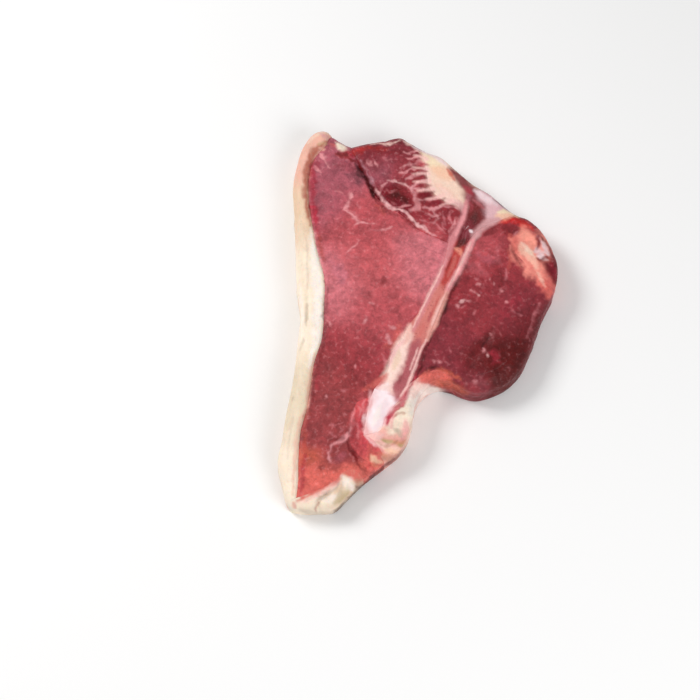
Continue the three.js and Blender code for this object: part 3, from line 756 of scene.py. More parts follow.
# %% Strokes of the strip loin
LOIN_STROKES = [
    # Painted shade: plum and slate where the strip loin dips beside the crease, with the grey of a painted
    # reflection of the pale room.
    ("plum", 0.5, (5.0, 8.0, 6.0), [(-45, 88), (-38, 86.5), (-33, 80)]),
    ("slate", 0.45, (3.0, 6.0, 4.0), [(-40, 82), (-36, 82), (-31.5, 76)]),
    ("rose", 0.45, (4.0, 8.0, 6.0), [(-50, 34), (-46.5, 24), (-45.5, 10)]),
    ("lilac_meat", 0.35, (2.5, 5.0, 4.0), [(-48.5, 28), (-44.5, 22), (-41.5, 15)]),
    ("rose", 0.35, (6.0, 8.0, 6.0), [(-7, 36), (-4, 26), (0, 17)]),
    ("russet", 0.4, (7.0, 12.0, 12.0, 9.0), [(-50, -28), (-48, -40), (-46, -52), (-43, -60)]),
    ("dusk", 0.35, (2.0, 4.0, 3.0), [(-37, -36), (-36, -46), (-38, -56)]),
    ("coral", 0.4, (3.0, 5.0, 4.0, 3.0), [(-12, -11), (-13, -16.5), (-15, -21), (-19, -25)]),
    ("crimson", 0.4, (1.6, 2.6, 1.6), [(-54.5, -40), (-55.2, -45), (-54.8, -50)]),
    # Painted shade: the dark strokes from here to the dusky line along the seam lie in the crease between
    # the two muscles.
    ("black_red", 0.8, (1.6, 4.0, 3.6, 1.6), [(-35.5, 89), (-32.8, 84.8), (-30.6, 82), (-29, 79)]),
    ("wine", 0.85, (1.2, 2.0, 2.2, 2.2), [(-38.4, 92.6), (-34.4, 90), (-31.4, 86)]),
    ("dark", 0.9, (2.0, 2.4, 2.8, 2.0), [(-29.6, 80), (-27.6, 75.6), (-25.8, 71.5), (-24.4, 67.6)]),
    ("black_red", 0.75, (1.6, 3.0, 1.4), [(-26.4, 72), (-25.2, 69.4), (-24.8, 67)]),
    ("dusk", 0.6, (2.4, 2.0, 1.6, 1.3, 1.0, 0.8), [
        (-24, 67), (-21, 63), (-17.5, 59), (-12.5, 56), (-7.6, 53.4), (-4.6, 50.2), (0, 45.6)]),
    ("rust", 0.5, (1.6, 3.0, 2.0), [(-24, 63.5), (-21, 60), (-18, 56.5)]),
    ("dim_vein", 0.7, (1.0, 1.6, 1.2), [(-46, 72), (-43.6, 71.6), (-41.6, 70)]),
    ("vein", 0.9, (1.4, 2.0, 1.8, 1.6), [(-37.6, 70), (-37.7, 66), (-39.5, 62.4), (-41, 59.8)]),
    ("vein", 0.9, (1.3, 1.7, 1.6, 1.3, 1.5), [
        (-40.6, 60), (-38, 57.4), (-35.6, 55), (-33.6, 52.6), (-31, 50.8)]),
    ("vein", 0.8, (1.0, 1.3, 1.3, 1.0), [(-36, 50.2), (-32.6, 51.2), (-28.6, 51), (-24.6, 50.8)]),
    ("dim_vein", 0.7, (1.2, 1.7, 1.3), [(-34.4, 63.4), (-33, 61.6), (-33, 60)]),
    ("dim_vein", 0.6, (1.3, 1.3), [(-35.8, 58), (-34.4, 55.6)]),
    ("vein", 0.85, (1.2, 1.7, 1.5), [(-20.4, 46.6), (-18, 47.2), (-14.6, 49)]),
    ("dim_vein", 0.5, (0.9, 1.2, 0.9), [(-29, 46), (-25, 46.6), (-21, 46.4)]),
    ("vein", 0.85, (1.0, 1.4, 1.3, 1.0), [(-32.4, 40.4), (-34.4, 37.6), (-36.6, 36.2), (-39.6, 33.2)]),
    ("dim_vein", 0.7, (1.0, 1.3, 1.0), [(-38.6, 31.6), (-36.6, 30), (-34, 30)]),
    ("dusk", 0.6, (1.4, 2.8, 2.2, 1.2), [(-19.4, 18), (-18.6, 15.4), (-19.8, 13.6), (-21.5, 12)]),
    ("dim_vein", 0.6, (1.0, 1.4), [(-18.2, 18.4), (-16.8, 17)]),
    ("dusk", 0.5, (1.3, 2.0), [(-27, 9.4), (-26.6, 6.8)]),
    ("vein", 0.7, (0.9, 1.4), [(-27.8, 2.4), (-25.4, 2)]),
    ("dim_vein", 0.75, (1.0, 1.7, 1.2), [(-30.8, -5.2), (-29.6, -7), (-30, -9.4)]),
    ("vein", 0.75, (1.2, 1.6), [(-29.8, -8), (-30.2, -9.6)]),
    ("vein", 0.7, (1.3, 1.7), [(-49.8, -9), (-49, -10)]),
    ("dim_vein", 0.7, (1.2, 1.6), [(-44.6, -3.6), (-42.6, -4.2)]),
    ("vein", 0.8, (1.4, 2.2, 1.2), [(-16.8, -11.6), (-15.4, -12.8), (-14.4, -13.8)]),
    ("vein", 0.9, (1.1, 1.7, 1.7, 1.0), [(-18.2, -17), (-17.4, -19.4), (-16.8, -21.4), (-16.6, -22.6)]),
    ("crimson", 0.6, (1.2, 2.0, 1.4), [(-24, -25.6), (-21.8, -24), (-20.6, -21.8)]),
    ("plum", 0.5, (1.3, 2.0, 1.5), [(-19.6, -26.4), (-17.2, -28.4), (-17, -31)]),
    ("dim_vein", 0.6, (1.1, 1.6, 1.2), [(-20.4, -29), (-19.4, -31.6), (-20.2, -34)]),
    ("vein", 0.6, (1.2, 1.0), [(-35.2, -34.4), (-34.8, -36.2)]),
    ("dusk", 0.6, (1.1, 1.6), [(-36.6, -37), (-35.8, -38.6)]),
    ("black_red", 0.6, (1.0, 1.7, 1.6, 1.0), [(-17, -32.6), (-18.2, -36), (-20, -39), (-22, -41.4)]),
    ("coral", 0.45, (2.4, 4.0, 3.6), [(-30, -48.5), (-27.5, -46.5), (-25, -44)]),
    ("vein", 0.75, (1.5, 1.0), [(-50.8, -51.6), (-50.2, -53.4)]),
    ("dim_vein", 0.6, (1.0, 1.3), [(-41.8, -49.2), (-40.6, -49.8)]),
    ("dusk", 0.6, (1.0, 1.5), [(-36.8, -54.6), (-36.2, -56)]),
    ("vein", 0.85, (1.2, 1.9, 1.9, 1.8, 1.5), [
        (-36, -59), (-36.6, -64), (-37.2, -69), (-38.6, -73), (-39.6, -74.6)]),
    ("vein", 0.85, (1.5, 2.1, 1.8, 1.7, 1.4, 1.0), [
        (-38, -74), (-42, -75.8), (-45.8, -78), (-48.2, -81.6), (-49.2, -85), (-49, -88)]),
    ("dim_vein", 0.7, (1.0, 1.3, 1.0), [(-49.4, -68.2), (-46, -67.8), (-42, -67.6)]),
    ("dim_vein", 0.65, (1.0, 1.5, 1.2), [(-49.4, -71.8), (-47.6, -73), (-45.6, -74.2)]),
    ("dim_vein", 0.5, (1.0, 1.2, 1.0), [(-43.6, -69.4), (-41.2, -70.8), (-43, -72.4)]),
    ("dusk", 0.55, (1.3, 1.7, 1.1), [(-48.4, -75.6), (-44.6, -76), (-41, -74.6)]),
    ("mauve", 0.45, (2.6, 5.0, 4.0), [(-46.5, -88), (-44, -86), (-41, -84)]),
    ("dusk", 0.55, (1.6, 2.4), [(-53, -92), (-52, -90)]),
    # Painted shade: the wine-red line lies in the pull beside the tail's swirl.
    ("wine", 0.85, (1.4, 2.4, 2.3, 2.1, 1.7, 1.3), [
        (-39.8, -77.2), (-38, -80.6), (-35.8, -84.4), (-34, -88), (-31.6, -91.6), (-28.4, -93.4)]),
    ("coral", 0.5, (3.4, 6.0, 4.6), [(-41, -93), (-37, -91.5), (-34, -93.6)]),
    ("coral", 0.6, (4.6, 7.0, 6.0, 4.0), [(-59, -96), (-54, -98.6), (-49, -96.6), (-45, -93.6)]),
    ("salmon", 0.6, (2.2, 3.6, 3.0), [(-64.4, -106), (-60, -103.8), (-56, -102.4)]),
]
print("strokes of the strip loin:", len(LOIN_STROKES))

# %% Strokes of the marbled muscle: fat fingers like a comb, and the fascia that wraps it
MARBLED_STROKES = [
    ("wine", 0.4, (2.6, 4.0, 3.0), [(-26, 96.5), (-16, 96), (-6, 97)]),
    ("mauve", 0.5, (3.0, 6.0, 5.0), [(-27.5, 89), (-25, 82), (-18, 85)]),
    ("wine", 0.7, (7.0, 10.0, 8.0), [(-16, 71), (-12, 69.6), (-8, 67)]),
    ("dark", 0.9, (2.8, 5.4, 4.0, 4.0, 2.2), [
        (-16.6, 68.2), (-14, 68.6), (-11, 67.8), (-8.6, 66), (-6.6, 63.4)]),
    ("wine", 0.55, (2.2, 3.2, 2.2), [(0.6, 68.4), (4, 69), (7.4, 67.8)]),
    ("maroon", 0.5, (2.0, 3.0, 2.0), [(3, 62.6), (8, 63), (13, 64.6)]),
    ("maroon", 0.4, (2.0, 4.0, 3.0), [(12, 59), (16, 58), (20, 58.4)]),
    ("vein", 0.85, (1.0, 1.6, 1.3), [(-8, 96.4), (-4.4, 96), (-1.6, 97.6), (1, 97.2)]),
    ("vein", 0.85, (0.9, 1.5, 1.7), [(-6.4, 93.4), (-3.6, 92.2), (-0.6, 93.4), (2, 93)]),
    ("fascia", 0.9, (1.0, 1.6, 2.0, 2.4), [(-9.6, 87), (-6.4, 88.6), (-2.6, 88.4), (1.4, 90.2), (6, 91)]),
    ("vein", 0.8, (0.9, 1.4, 1.5), [(-10, 83.4), (-6.6, 84.2), (-4, 86), (-0.6, 85.6)]),
    ("fascia", 0.9, (1.0, 1.9, 2.3, 2.6), [(-6.6, 79.6), (-3, 80.6), (0.4, 82.2), (5, 85.4)]),
    ("fascia", 0.85, (1.6, 1.5, 1.6, 1.2), [(5, 78.8), (2.4, 78), (-0.8, 75.4), (-3.4, 73)]),
    ("fascia", 0.85, (1.2, 1.5, 1.6), [(-3, 73), (1, 72.4), (5.6, 72.2)]),
    ("pale_fascia_and_glint", 0.85, (1.0, 1.6, 1.3), [(-11.4, 77.4), (-8, 76.4), (-5, 74.6)]),
    ("fascia", 0.85, (1.2, 1.9, 2.1), [(-5.4, 74.4), (-2.6, 71), (-1.6, 67)]),
    ("vein", 0.7, (2.1, 3.0, 3.6, 2.4), [(-1.8, 67.6), (-0.8, 64), (-1, 61), (-3.6, 58.6)]),
    ("fascia", 0.85, (1.3, 1.7, 1.7, 1.4), [(-0.4, 65.4), (3, 65.2), (7.6, 66.2), (12, 67.4)]),
    ("fascia", 0.85, (1.2, 1.7, 1.5, 1.5, 1.9), [(2, 61), (8, 60.4), (14, 62), (19, 61.8), (23, 60.2)]),
    ("fascia", 0.7, (1.0, 1.3, 1.1), [(8, 58.6), (10.4, 54.6), (9, 51)]),
    ("dim_vein", 0.8, (1.0, 1.3, 1.1), [(0.6, 54), (5, 52), (9.4, 51.4)]),
    ("vein", 0.7, (0.8, 1.3, 1.0), [(4, 57.4), (8, 56), (12.4, 56.4)]),
    ("dim_vein", 0.8, (0.8, 1.3, 0.9), [(9.8, 50.8), (13, 48), (15, 44.8)]),
    ("dim_vein", 0.8, (0.9, 1.3, 1.0), [(18.6, 59), (17, 55), (18.4, 50.6)]),
    ("dim_vein", 0.7, (0.8, 1.2, 0.9), [(1.4, 50.6), (5, 48.8), (8, 47)]),
    ("maroon", 0.5, (1.6, 2.6, 1.8), [(12.6, 53.6), (14.6, 50.6), (16, 47)]),
    ("maroon", 0.4, (1.6, 2.6, 1.8), [(2.4, 57), (6, 54.4), (8.6, 53.4)]),
    ("dim_vein", 0.7, (1.0, 1.2, 1.0), [(14, 58), (13.4, 53), (15, 48)]),
    ("vein", 0.8, (1.2, 1.5, 1.4, 1.2), [(21.6, 54.6), (19, 49.4), (17.4, 45), (16.4, 41.4)]),
    ("fascia", 0.7, (1.0, 1.5, 0.9), [(-21, 71.4), (-20, 74.8), (-17.6, 76.4)]),
    ("pale_fascia_and_glint", 0.7, (0.8, 1.2, 1.4), [(-17, 78.2), (-14.6, 77.6), (-12, 78)]),
    ("dim_vein", 0.6, (0.8, 1.2, 0.8), [(-17.6, 72.8), (-15, 71), (-12.4, 72)]),
    ("dim_vein", 0.5, (0.8, 1.2, 1.0), [(-10.4, 65.4), (-12.4, 63.8), (-15, 64.6)]),
    ("vein", 0.7, (1.0, 1.5, 1.5, 1.0), [(-16.6, 63.6), (-13, 61.8), (-9.4, 61.8), (-5, 62.4)]),
    ("lilac_vein", 0.6, (1.0, 1.4, 1.6, 1.6), [(-32.6, 91), (-29.8, 87.4), (-27, 80.6), (-24.8, 75.4)]),
    ("pale_fascia_and_glint", 0.95, (2.0, 2.1, 1.9, 2.1, 2.2, 2.0, 1.8, 1.8, 1.5), [
        (-23.4, 72.8), (-20.6, 68.2), (-17.6, 63.4), (-14, 60.6), (-10, 59.4), (-6.6, 57), (-4, 53.6),
        (-0.8, 50.6), (2.8, 47.8), (5.4, 45.4)]),
    ("fascia", 0.7, (1.2, 1.4, 1.0), [(4.6, 46), (7, 44.4), (9.6, 43.6)]),
    ("vein", 0.8, (1.5, 1.9, 1.2), [(-28.4, 91.6), (-27, 89.6), (-26, 87.6)]),
    ("vein", 0.75, (1.3, 1.7), [(-24.2, 90.6), (-22.8, 87.8)]),
    ("dim_vein", 0.6, (1.0, 1.4, 1.0), [(-20, 93), (-17, 91), (-14, 91.6)]),
    ("shell_pink", 0.85, (1.4, 2.3, 2.1, 1.6), [(-25.4, 103.6), (-20, 102.8), (-15, 102.6), (-9.6, 103.8)]),
    ("shell_pink", 0.85, (1.6, 2.6, 3.0, 3.4), [(-9, 106.6), (-4, 102.8), (1, 98.4), (6, 94)]),
]
print("strokes of the marbled muscle:", len(MARBLED_STROKES))

# %% Strokes of the bone: pale sawn walls, dark marrow, the blood between its arms, painted shade in the hollow at its fork and a painted highlight on its right arm
BONE_STROKES = [
    ("bone_cream", 0.95, (10.0, 13.0, 11.0, 7.0, 4.0), [
        (8.6, 82), (12, 76.6), (17, 71.4), (22.4, 66), (26, 61)]),
    ("lilac_pink", 0.8, (2.4, 4.0, 4.4, 3.4), [(16, 66), (21, 64), (25, 60.6), (26, 56)]),
    ("butter_bone", 0.9, (6.0, 8.0, 6.0), [(4, 96), (8.4, 90.6), (13, 86.8)]),
    ("peach_bone", 0.85, (5.0, 8.0, 6.0), [(9, 86), (13.4, 83.4), (17.6, 80)]),
    ("pink_beige", 0.3, (3.0, 5.0, 3.0), [(10, 76), (15, 71.6), (21.6, 66)]),
    ("shell_pink", 0.6, (2.0, 3.0, 2.0), [(12.6, 73.6), (17.4, 68.8), (22.4, 64.6)]),
    ("shell_pink", 0.5, (1.6, 2.6, 3.0, 2.6, 1.8), [
        (3.6, 97), (4.8, 88), (6, 79), (10, 71.4), (15.8, 66), (22, 62.2)]),
    ("pale_bone", 0.8, (1.0, 1.8, 3.0), [(-2, 94.6), (2, 93.6), (6, 92)]),
    ("pale_bone", 0.8, (1.0, 1.7, 3.0), [(-3, 87), (1.4, 86.2), (6, 85.6)]),
    ("pale_bone", 0.8, (0.9, 1.6, 2.8), [(-2.6, 82.6), (1.6, 83), (6, 82.6)]),
    ("pale_bone", 0.8, (1.0, 1.8, 3.2), [(-2.4, 77.6), (2, 77.4), (6.6, 77.8)]),
    ("pale_bone", 0.8, (1.0, 1.8, 3.2), [(0, 71.4), (4.4, 72), (9, 73)]),
    ("pale_bone", 0.8, (1.0, 1.8, 3.0), [(4.6, 66.4), (9, 67.2), (13.6, 68.8)]),
    ("pale_bone", 0.7, (0.9, 1.6, 2.8), [(12, 62.4), (15.6, 63.8), (19.4, 65.4)]),
    ("cherry", 0.8, (3.0, 2.4, 1.0), [(0, 89.4), (3.4, 89), (6.6, 88.4)]),
    ("garnet", 0.8, (2.2, 1.7, 0.8), [(0, 84.9), (3, 84.4), (5.6, 84)]),
    ("garnet", 0.7, (2.8, 2.4, 1.4), [(-1.6, 79.6), (2, 80.4), (5.2, 80)]),
    ("garnet", 0.7, (3.0, 2.6, 1.6), [(0.4, 74.4), (3.8, 75), (7.4, 75)]),
    ("maroon", 0.7, (3.2, 2.8, 1.6), [(2, 69.2), (5.8, 69.4), (9, 71)]),
    ("maroon", 0.6, (2.4, 2.2, 1.4), [(8, 64.2), (12, 65), (15, 67)]),
    ("lilac_white", 0.8, (2.4, 3.4, 3.2, 2.2), [(-2, 102), (4.6, 98.6), (10.6, 94), (16.4, 88.6)]),
    ("maroon", 0.95, (3.4, 5.4, 6.0, 6.0, 5.0), [
        (18.4, 86), (22.4, 81.4), (26, 77), (29, 72.6), (30.8, 68.8)]),
    ("crimson", 0.8, (2.2, 3.8, 2.6), [(25.8, 74.4), (28.2, 72), (30.2, 69.4)]),
    ("orange_meat", 0.8, (1.6, 2.2, 1.6), [(16.8, 85.6), (18.8, 82.4), (20.6, 78.6)]),
    ("dark", 0.7, (1.4, 2.0, 1.4), [(19.6, 88), (24.6, 83.4), (29.4, 78.6)]),
    ("mauve", 0.85, (3.4, 4.2, 3.4), [(27.4, 69), (28.8, 66), (29.4, 62.6)]),
    # Painted highlight: the pale lilac along the top of the bone's right arm.
    ("lilac_white", 0.9, (3.0, 4.4, 4.4, 3.6), [(32, 71.6), (35.6, 68.8), (39.6, 65.6), (43.6, 62.6)]),
    ("lilac", 0.9, (5.0, 7.4, 6.0), [(41.4, 62.6), (41.2, 58), (39.6, 53.6)]),
    ("peach_bone", 0.9, (3.0, 5.0, 5.0, 3.6), [(43.4, 55.6), (47.4, 56.4), (51, 57.4), (55.6, 58)]),
    ("butter_bone", 0.9, (2.0, 3.4, 2.6), [(44.6, 58), (48.6, 59), (53, 59)]),
    ("slate", 0.8, (1.4, 2.1, 1.7), [(42, 66.6), (46.6, 64.4), (51.8, 61.4)]),
    ("wine", 0.97, (7.0, 11.0, 11.0, 8.0), [(34.6, 61.4), (32, 58.4), (30.2, 55), (29.2, 51)]),
    ("wine", 0.9, (3.6, 5.0, 4.0), [(30, 66.4), (31.4, 63.4), (35.4, 61.2)]),
    # Painted shade at the top of the hollow at the bone's fork.
    ("dark", 0.85, (3.4, 5.4, 4.0), [(31.6, 56.4), (30.2, 52.4), (28.2, 50)]),
    ("slate", 0.25, (2.6, 3.4, 2.4), [(34.4, 59.6), (36.4, 58.4), (37.4, 56)]),
    ("rose", 0.5, (1.2, 2.0, 1.4), [(30.6, 66), (33.6, 63.6), (36.6, 60)]),
    ("crimson", 0.5, (1.6, 2.2, 1.4), [(28.6, 64.6), (30, 61.6), (29, 58.6)]),
    ("maroon", 0.92, (6.6, 6.8, 6.2, 5.0), [(28.6, 51.6), (27.2, 47.6), (25.8, 44.2), (24.4, 41)]),
    ("mauve", 0.3, (2.0, 3.0, 2.0), [(28, 48), (26.4, 45), (25.4, 43)]),
    # Painted shade down the hollow at the bone's fork.
    ("dark", 0.9, (3.6, 4.2, 2.8, 1.6), [(25, 40.6), (23.4, 38.8), (21.4, 36.8), (19.2, 35)]),
    ("marrow_red", 0.9, (3.2, 4.0, 4.0, 3.6, 3.0), [
        (20.8, 34), (18.8, 29), (16.4, 23.4), (14.2, 17), (12, 11)]),
    ("salmon_marrow", 0.5, (1.4, 2.2, 1.4), [(20, 31), (18.6, 26), (15.4, 18)]),
    ("dark_red", 0.7, (1.1, 1.5, 1.1), [(17.6, 32.4), (16.6, 27.6), (14.8, 21.6)]),
    ("orange_pink", 0.85, (2.2, 2.9, 2.0), [(19.6, 35.4), (21.8, 34.2), (23.2, 31)]),
    ("salmon_marrow", 0.9, (4.0, 5.6, 5.2, 4.6, 4.0), [
        (11.6, 12), (8.4, 3), (5.4, -4), (2.6, -11), (0.4, -17)]),
    ("crimson", 0.55, (1.3, 1.9, 1.2), [(6, -3.6), (5, -6.4), (4.2, -9)]),
    ("marrow_red", 0.45, (1.0, 1.6, 1.0), [(10.4, 6), (8, 0), (5.8, -6)]),
    ("marrow_low", 0.9, (3.0, 4.8, 5.6, 5.2, 4.6), [
        (-1.2, -20), (-4.2, -28.4), (-7.4, -35.6), (-10.4, -42), (-12.6, -47.6)]),
    ("maroon", 0.45, (1.5, 2.3, 1.9), [(-10, -40), (-12, -44), (-13.4, -48)]),
    ("salmon", 0.5, (1.6, 2.4, 2.0), [(-1, -18), (0.6, -14), (2, -10)]),
    ("cream_strip", 0.97, (3.0, 5.4, 7.0, 7.8, 7.8, 7.0, 6.0), [
        (-6, -12), (-7, -17), (-10, -23.4), (-12, -30), (-14.4, -36.4), (-17.4, -41.6), (-18.6, -47)]),
    ("ivory", 0.55, (2.2, 3.6, 2.6), [(-12, -26), (-12.8, -31), (-14.6, -37)]),
    ("pink_beige", 0.55, (2.0, 3.0, 2.0), [(-6, -13), (-6.8, -18), (-9, -22)]),
    ("pale_fascia_and_glint", 0.7, (1.6, 2.2, 1.8), [(-9, -20), (-12.8, -24.6), (-15.2, -29), (-17, -35)]),
    ("salmon", 0.8, (2.4, 4.4, 4.0), [(-18.6, -40), (-21.6, -43.6), (-25, -46)]),
    ("pearl", 0.8, (3.0, 6.0, 6.0), [(-18.6, -46), (-20, -49.6), (-20.4, -53)]),
    ("mauve", 0.35, (2.0, 2.6, 2.2), [(18, 44), (14.2, 34), (10, 24)]),
    ("cortex_mauve", 0.92, (2.6, 3.0, 3.6, 4.0, 3.8, 3.6, 3.6), [
        (27, 65.4), (26.2, 60), (24.6, 54.6), (22.4, 49.4), (20, 44), (17.8, 38.6), (15.6, 32), (13, 25)]),
    ("pink_bone", 0.8, (1.2, 1.7, 1.5, 1.7), [(26.8, 62), (25, 55), (22.4, 48.6), (20.4, 43.6)]),
    ("cortex_mauve", 0.95, (3.4, 3.8, 3.8, 2.8, 2.0, 1.6, 1.5, 1.7), [
        (14.6, 29.4), (12, 22), (9.4, 15.6), (7, 10), (4.4, 4), (2.2, -1), (-1, -8.6), (-3.8, -14.6)]),
    ("lilac_pink", 0.9, (4.0, 4.8, 4.6, 4.2), [(44, 53.4), (37, 50.2), (32.6, 45.8), (29.4, 40.4)]),
    ("pink_bone", 0.95, (3.6, 3.6, 3.6, 3.4, 3.0, 2.8), [
        (29.8, 40.6), (27, 34), (24, 27.4), (21, 21), (17.4, 14.6), (14.4, 8.4)]),
    ("pale_bone", 0.7, (1.2, 1.6, 1.6, 1.2), [(28.4, 39), (24.6, 30), (21, 22), (16, 12)]),
    ("pink_beige", 0.9, (3.0, 3.6, 3.6, 3.2, 2.8), [
        (14.6, 8.4), (11.8, 1.6), (9, -5.6), (6.2, -13), (3.2, -20)]),
    ("pale_bone", 0.85, (1.0, 1.3, 1.3, 1.2, 1.0), [
        (13, 25), (8, 14), (3.6, 4.6), (-0.4, -4), (-4, -12.6)]),
    ("pale_bone", 0.6, (1.0, 1.4, 1.0), [(13.4, 7), (9.6, -2), (6, -11)]),
    ("pale_bone", 0.95, (1.2, 1.4, 1.5, 1.6, 1.8), [
        (2.6, -20), (-0.8, -28.4), (-3.1, -34.6), (-5.8, -41.6), (-8.4, -49), (-10.6, -53.4)]),
    ("pale_bone", 0.8, (0.9, 1.1, 1.1), [(-1.4, -24.6), (-3.8, -31), (-6, -37)]),
    ("pearl", 0.95, (1.8, 1.8), [(28.4, 46.6), (29.4, 45.6)]),
]
print("strokes of the bone:", len(BONE_STROKES))

# %% Strokes of the tenderloin
FILLET_STROKES = [
    ("dusk", 0.6, (5.0, 8.0, 7.0, 5.0), [(37, 45), (44, 47.4), (50, 47), (54.6, 44)]),
    ("rose", 0.3, (3.0, 6.0, 4.0), [(26.6, 26), (31, 22.6), (36, 19.6)]),
    ("mauve", 0.5, (3.0, 5.0, 4.0), [(33, 33), (36.6, 29), (41, 27)]),
    ("rose", 0.35, (3.0, 4.0, 2.0), [(44, 36), (42.6, 30), (45, 25)]),
    ("umber", 0.5, (4.0, 8.0, 7.0), [(54, -20), (50, -30), (44, -38)]),
    ("crimson", 0.3, (4.0, 7.0, 5.0), [(54, 10), (50, 2), (44, -6)]),
    ("blood", 0.9, (1.8, 3.2, 4.4, 4.4, 2.8), [(46, 52.2), (50.6, 54), (55, 52.6), (59.6, 50), (64, 46.6)]),
    ("hot_red", 0.5, (1.5, 2.5, 1.9), [(56, 49.6), (58.6, 48.6), (61, 47.4)]),
    ("coral", 0.6, (1.5, 1.9, 1.3), [(44, 51.4), (48, 53.8), (52, 55.6)]),
    ("coral", 0.6, (1.8, 2.8, 1.8), [(50.4, 44), (52, 41), (53.4, 38.6)]),
    ("grey_brown", 0.65, (2.6, 3.0, 2.8, 2.2), [(34.6, 48), (32.2, 42), (29, 34.6), (26.4, 28)]),
    ("grey_brown", 0.55, (2.2, 2.6, 2.0), [(26, 27), (22.6, 20), (19.4, 12.6)]),
    # Painted shadow: the dark strokes from here to the black-red one lie beside the bone's stem, which
    # stands above the tenderloin.
    ("dark", 0.85, (1.4, 2.4, 2.6, 2.4, 1.8), [(21, 18), (17.4, 8.6), (14.4, 1.6), (11.6, -4.6), (9, -11)]),
    ("dark", 0.9, (1.6, 2.4, 2.4, 2.2, 1.6), [(6.2, -17), (3.4, -24), (1.2, -30), (-1, -36), (-3.6, -43)]),
    ("black_red", 0.6, (1.2, 2.0, 1.2), [(16.4, 4), (14, -1), (12.6, -5)]),
    ("vein", 0.75, (1.3, 1.6), [(31.8, 14), (32.8, 12.8)]),
    ("dim_vein", 0.7, (1.2, 1.5), [(34.4, 10.8), (35.2, 11.6)]),
    ("dim_vein", 0.7, (1.2, 1.5), [(30.2, 17), (31.4, 16)]),
    ("vein", 0.6, (1.0, 1.3), [(38, 17.2), (38.4, 15.6)]),
    ("dim_vein", 0.6, (1.2, 1.6), [(35.2, 15.4), (36.2, 16.4)]),
    ("vein", 0.65, (1.2, 1.4), [(40.6, 14.4), (40.8, 12.8)]),
    ("dim_vein", 0.6, (1.0, 1.4), [(27.4, 19.4), (28.6, 18.4)]),
    ("dim_vein", 0.7, (0.8, 1.2, 0.8), [(47.6, 22.6), (47.2, 19), (46.8, 16)]),
    ("vein", 0.7, (1.2, 1.6), [(43.6, 9.4), (45, 8.6)]),
    # Painted highlights: the seven short pale strokes from here on are glints of the wet surface.
    ("vein", 0.8, (1.4, 1.9), [(28.4, 9.4), (29.6, 8.4)]),
    ("pale_fascia_and_glint", 0.85, (1.3, 1.9), [(31, 7.4), (32.2, 6.4)]),
    ("lilac_vein", 0.7, (1.2, 1.5), [(33, 8.6), (34, 8)]),
    ("vein", 0.75, (1.4, 1.9), [(26.4, 3.6), (25.2, 4.2)]),
    ("pale_fascia_and_glint", 0.8, (1.4, 1.8), [(23.6, 3.8), (22.6, 2.8)]),
    ("vein", 0.8, (1.6, 1.9), [(20.6, 0.6), (21.6, -0.6)]),
    ("dim_vein", 0.7, (1.2, 1.5), [(23, -1), (24, -0.4)]),
    ("vein", 0.7, (1.5, 1.8), [(46.8, 3.6), (47.8, 2.2)]),
    ("dim_vein", 0.65, (0.9, 1.3, 1.0), [(50, -2), (52.6, -4.4), (54.6, -5.6)]),
    ("dim_vein", 0.6, (1.0, 1.2), [(29.4, -2.4), (28.6, -4.4)]),
    ("coral", 0.35, (1.2, 1.6, 1.2), [(48.6, 36), (49.6, 29), (48.8, 22)]),
    ("dusk", 0.5, (1.4, 2.4, 1.6), [(42, 22), (45, 16), (44, 12)]),
    ("dim_vein", 0.75, (1.2, 1.5, 1.6, 1.4, 1.1), [
        (65, 2), (63.4, -2.6), (61.6, -7.6), (59.6, -12.6), (57, -19)]),
    # Painted shade: the strokes from here to the black-red one lie on the tenderloin's turned-down right
    # edge, on its wall and in the fold across it.
    ("dark", 0.65, (1.4, 3.0, 4.0, 4.4, 4.0, 3.0, 2.0), [
        (70, 3), (67, -6), (63.6, -15), (60, -25), (55.4, -35), (49, -42), (41, -46)]),
    ("umber", 0.5, (1.8, 4.0, 5.0, 4.0, 2.6), [
        (38.4, -12.6), (36, -17.6), (33, -21.6), (30, -24.6), (27, -29)]),
    ("umber", 0.55, (4.0, 8.0, 9.0, 8.0, 5.0), [(66, -18), (60, -32), (52, -44), (40, -52), (30, -55)]),
    ("black_red", 0.55, (1.0, 1.6, 1.2), [(36.6, -18.8), (34, -22), (32, -25.4)]),
    ("vein", 0.8, (1.5, 1.8), [(36.8, -16.2), (38, -17.4)]),
    ("vein", 0.7, (1.4, 2.0), [(33.2, -25.2), (34.2, -26.6)]),
    ("pale_fascia_and_glint", 0.7, (1.0, 1.1), [(35.4, -27.4), (35.7, -30)]),
    ("crimson", 0.65, (2.4, 4.0, 4.0, 2.8), [(36.4, -27.4), (38.8, -28.6), (40.2, -30.4), (38, -33.6)]),
    ("vein", 0.7, (1.2, 1.7), [(6.4, -32.4), (7.6, -33.4)]),
    ("vein", 0.7, (1.2, 1.6), [(9.6, -33), (10.6, -33.8)]),
    ("dim_vein", 0.7, (1.2, 1.5), [(12.8, -33), (14, -33.8)]),
    ("dim_vein", 0.6, (1.0, 1.2), [(15, -24), (15.6, -27.4)]),
    ("vein", 0.65, (1.3, 1.8), [(27.6, -43.4), (28.8, -45)]),
    ("vein", 0.6, (1.3, 1.5), [(23.4, -45.4), (24.8, -46.2)]),
    ("dim_vein", 0.5, (1.0, 1.4), [(45.6, -36), (47.6, -36.6)]),
    ("wine", 0.6, (1.8, 3.0, 2.2), [(33.4, -41), (36.4, -43.4), (35.4, -46)]),
    # Painted shade in the notch crease.
    ("dark", 0.85, (1.2, 2.1, 1.7), [(0.4, -39.4), (4, -37.8), (7.4, -35.8)]),
    ("brick", 0.7, (1.4, 2.4, 2.2, 1.4), [(8, -36.6), (12, -37.4), (16.6, -39.8), (21, -43)]),
]
print("strokes of the tenderloin:", len(FILLET_STROKES))

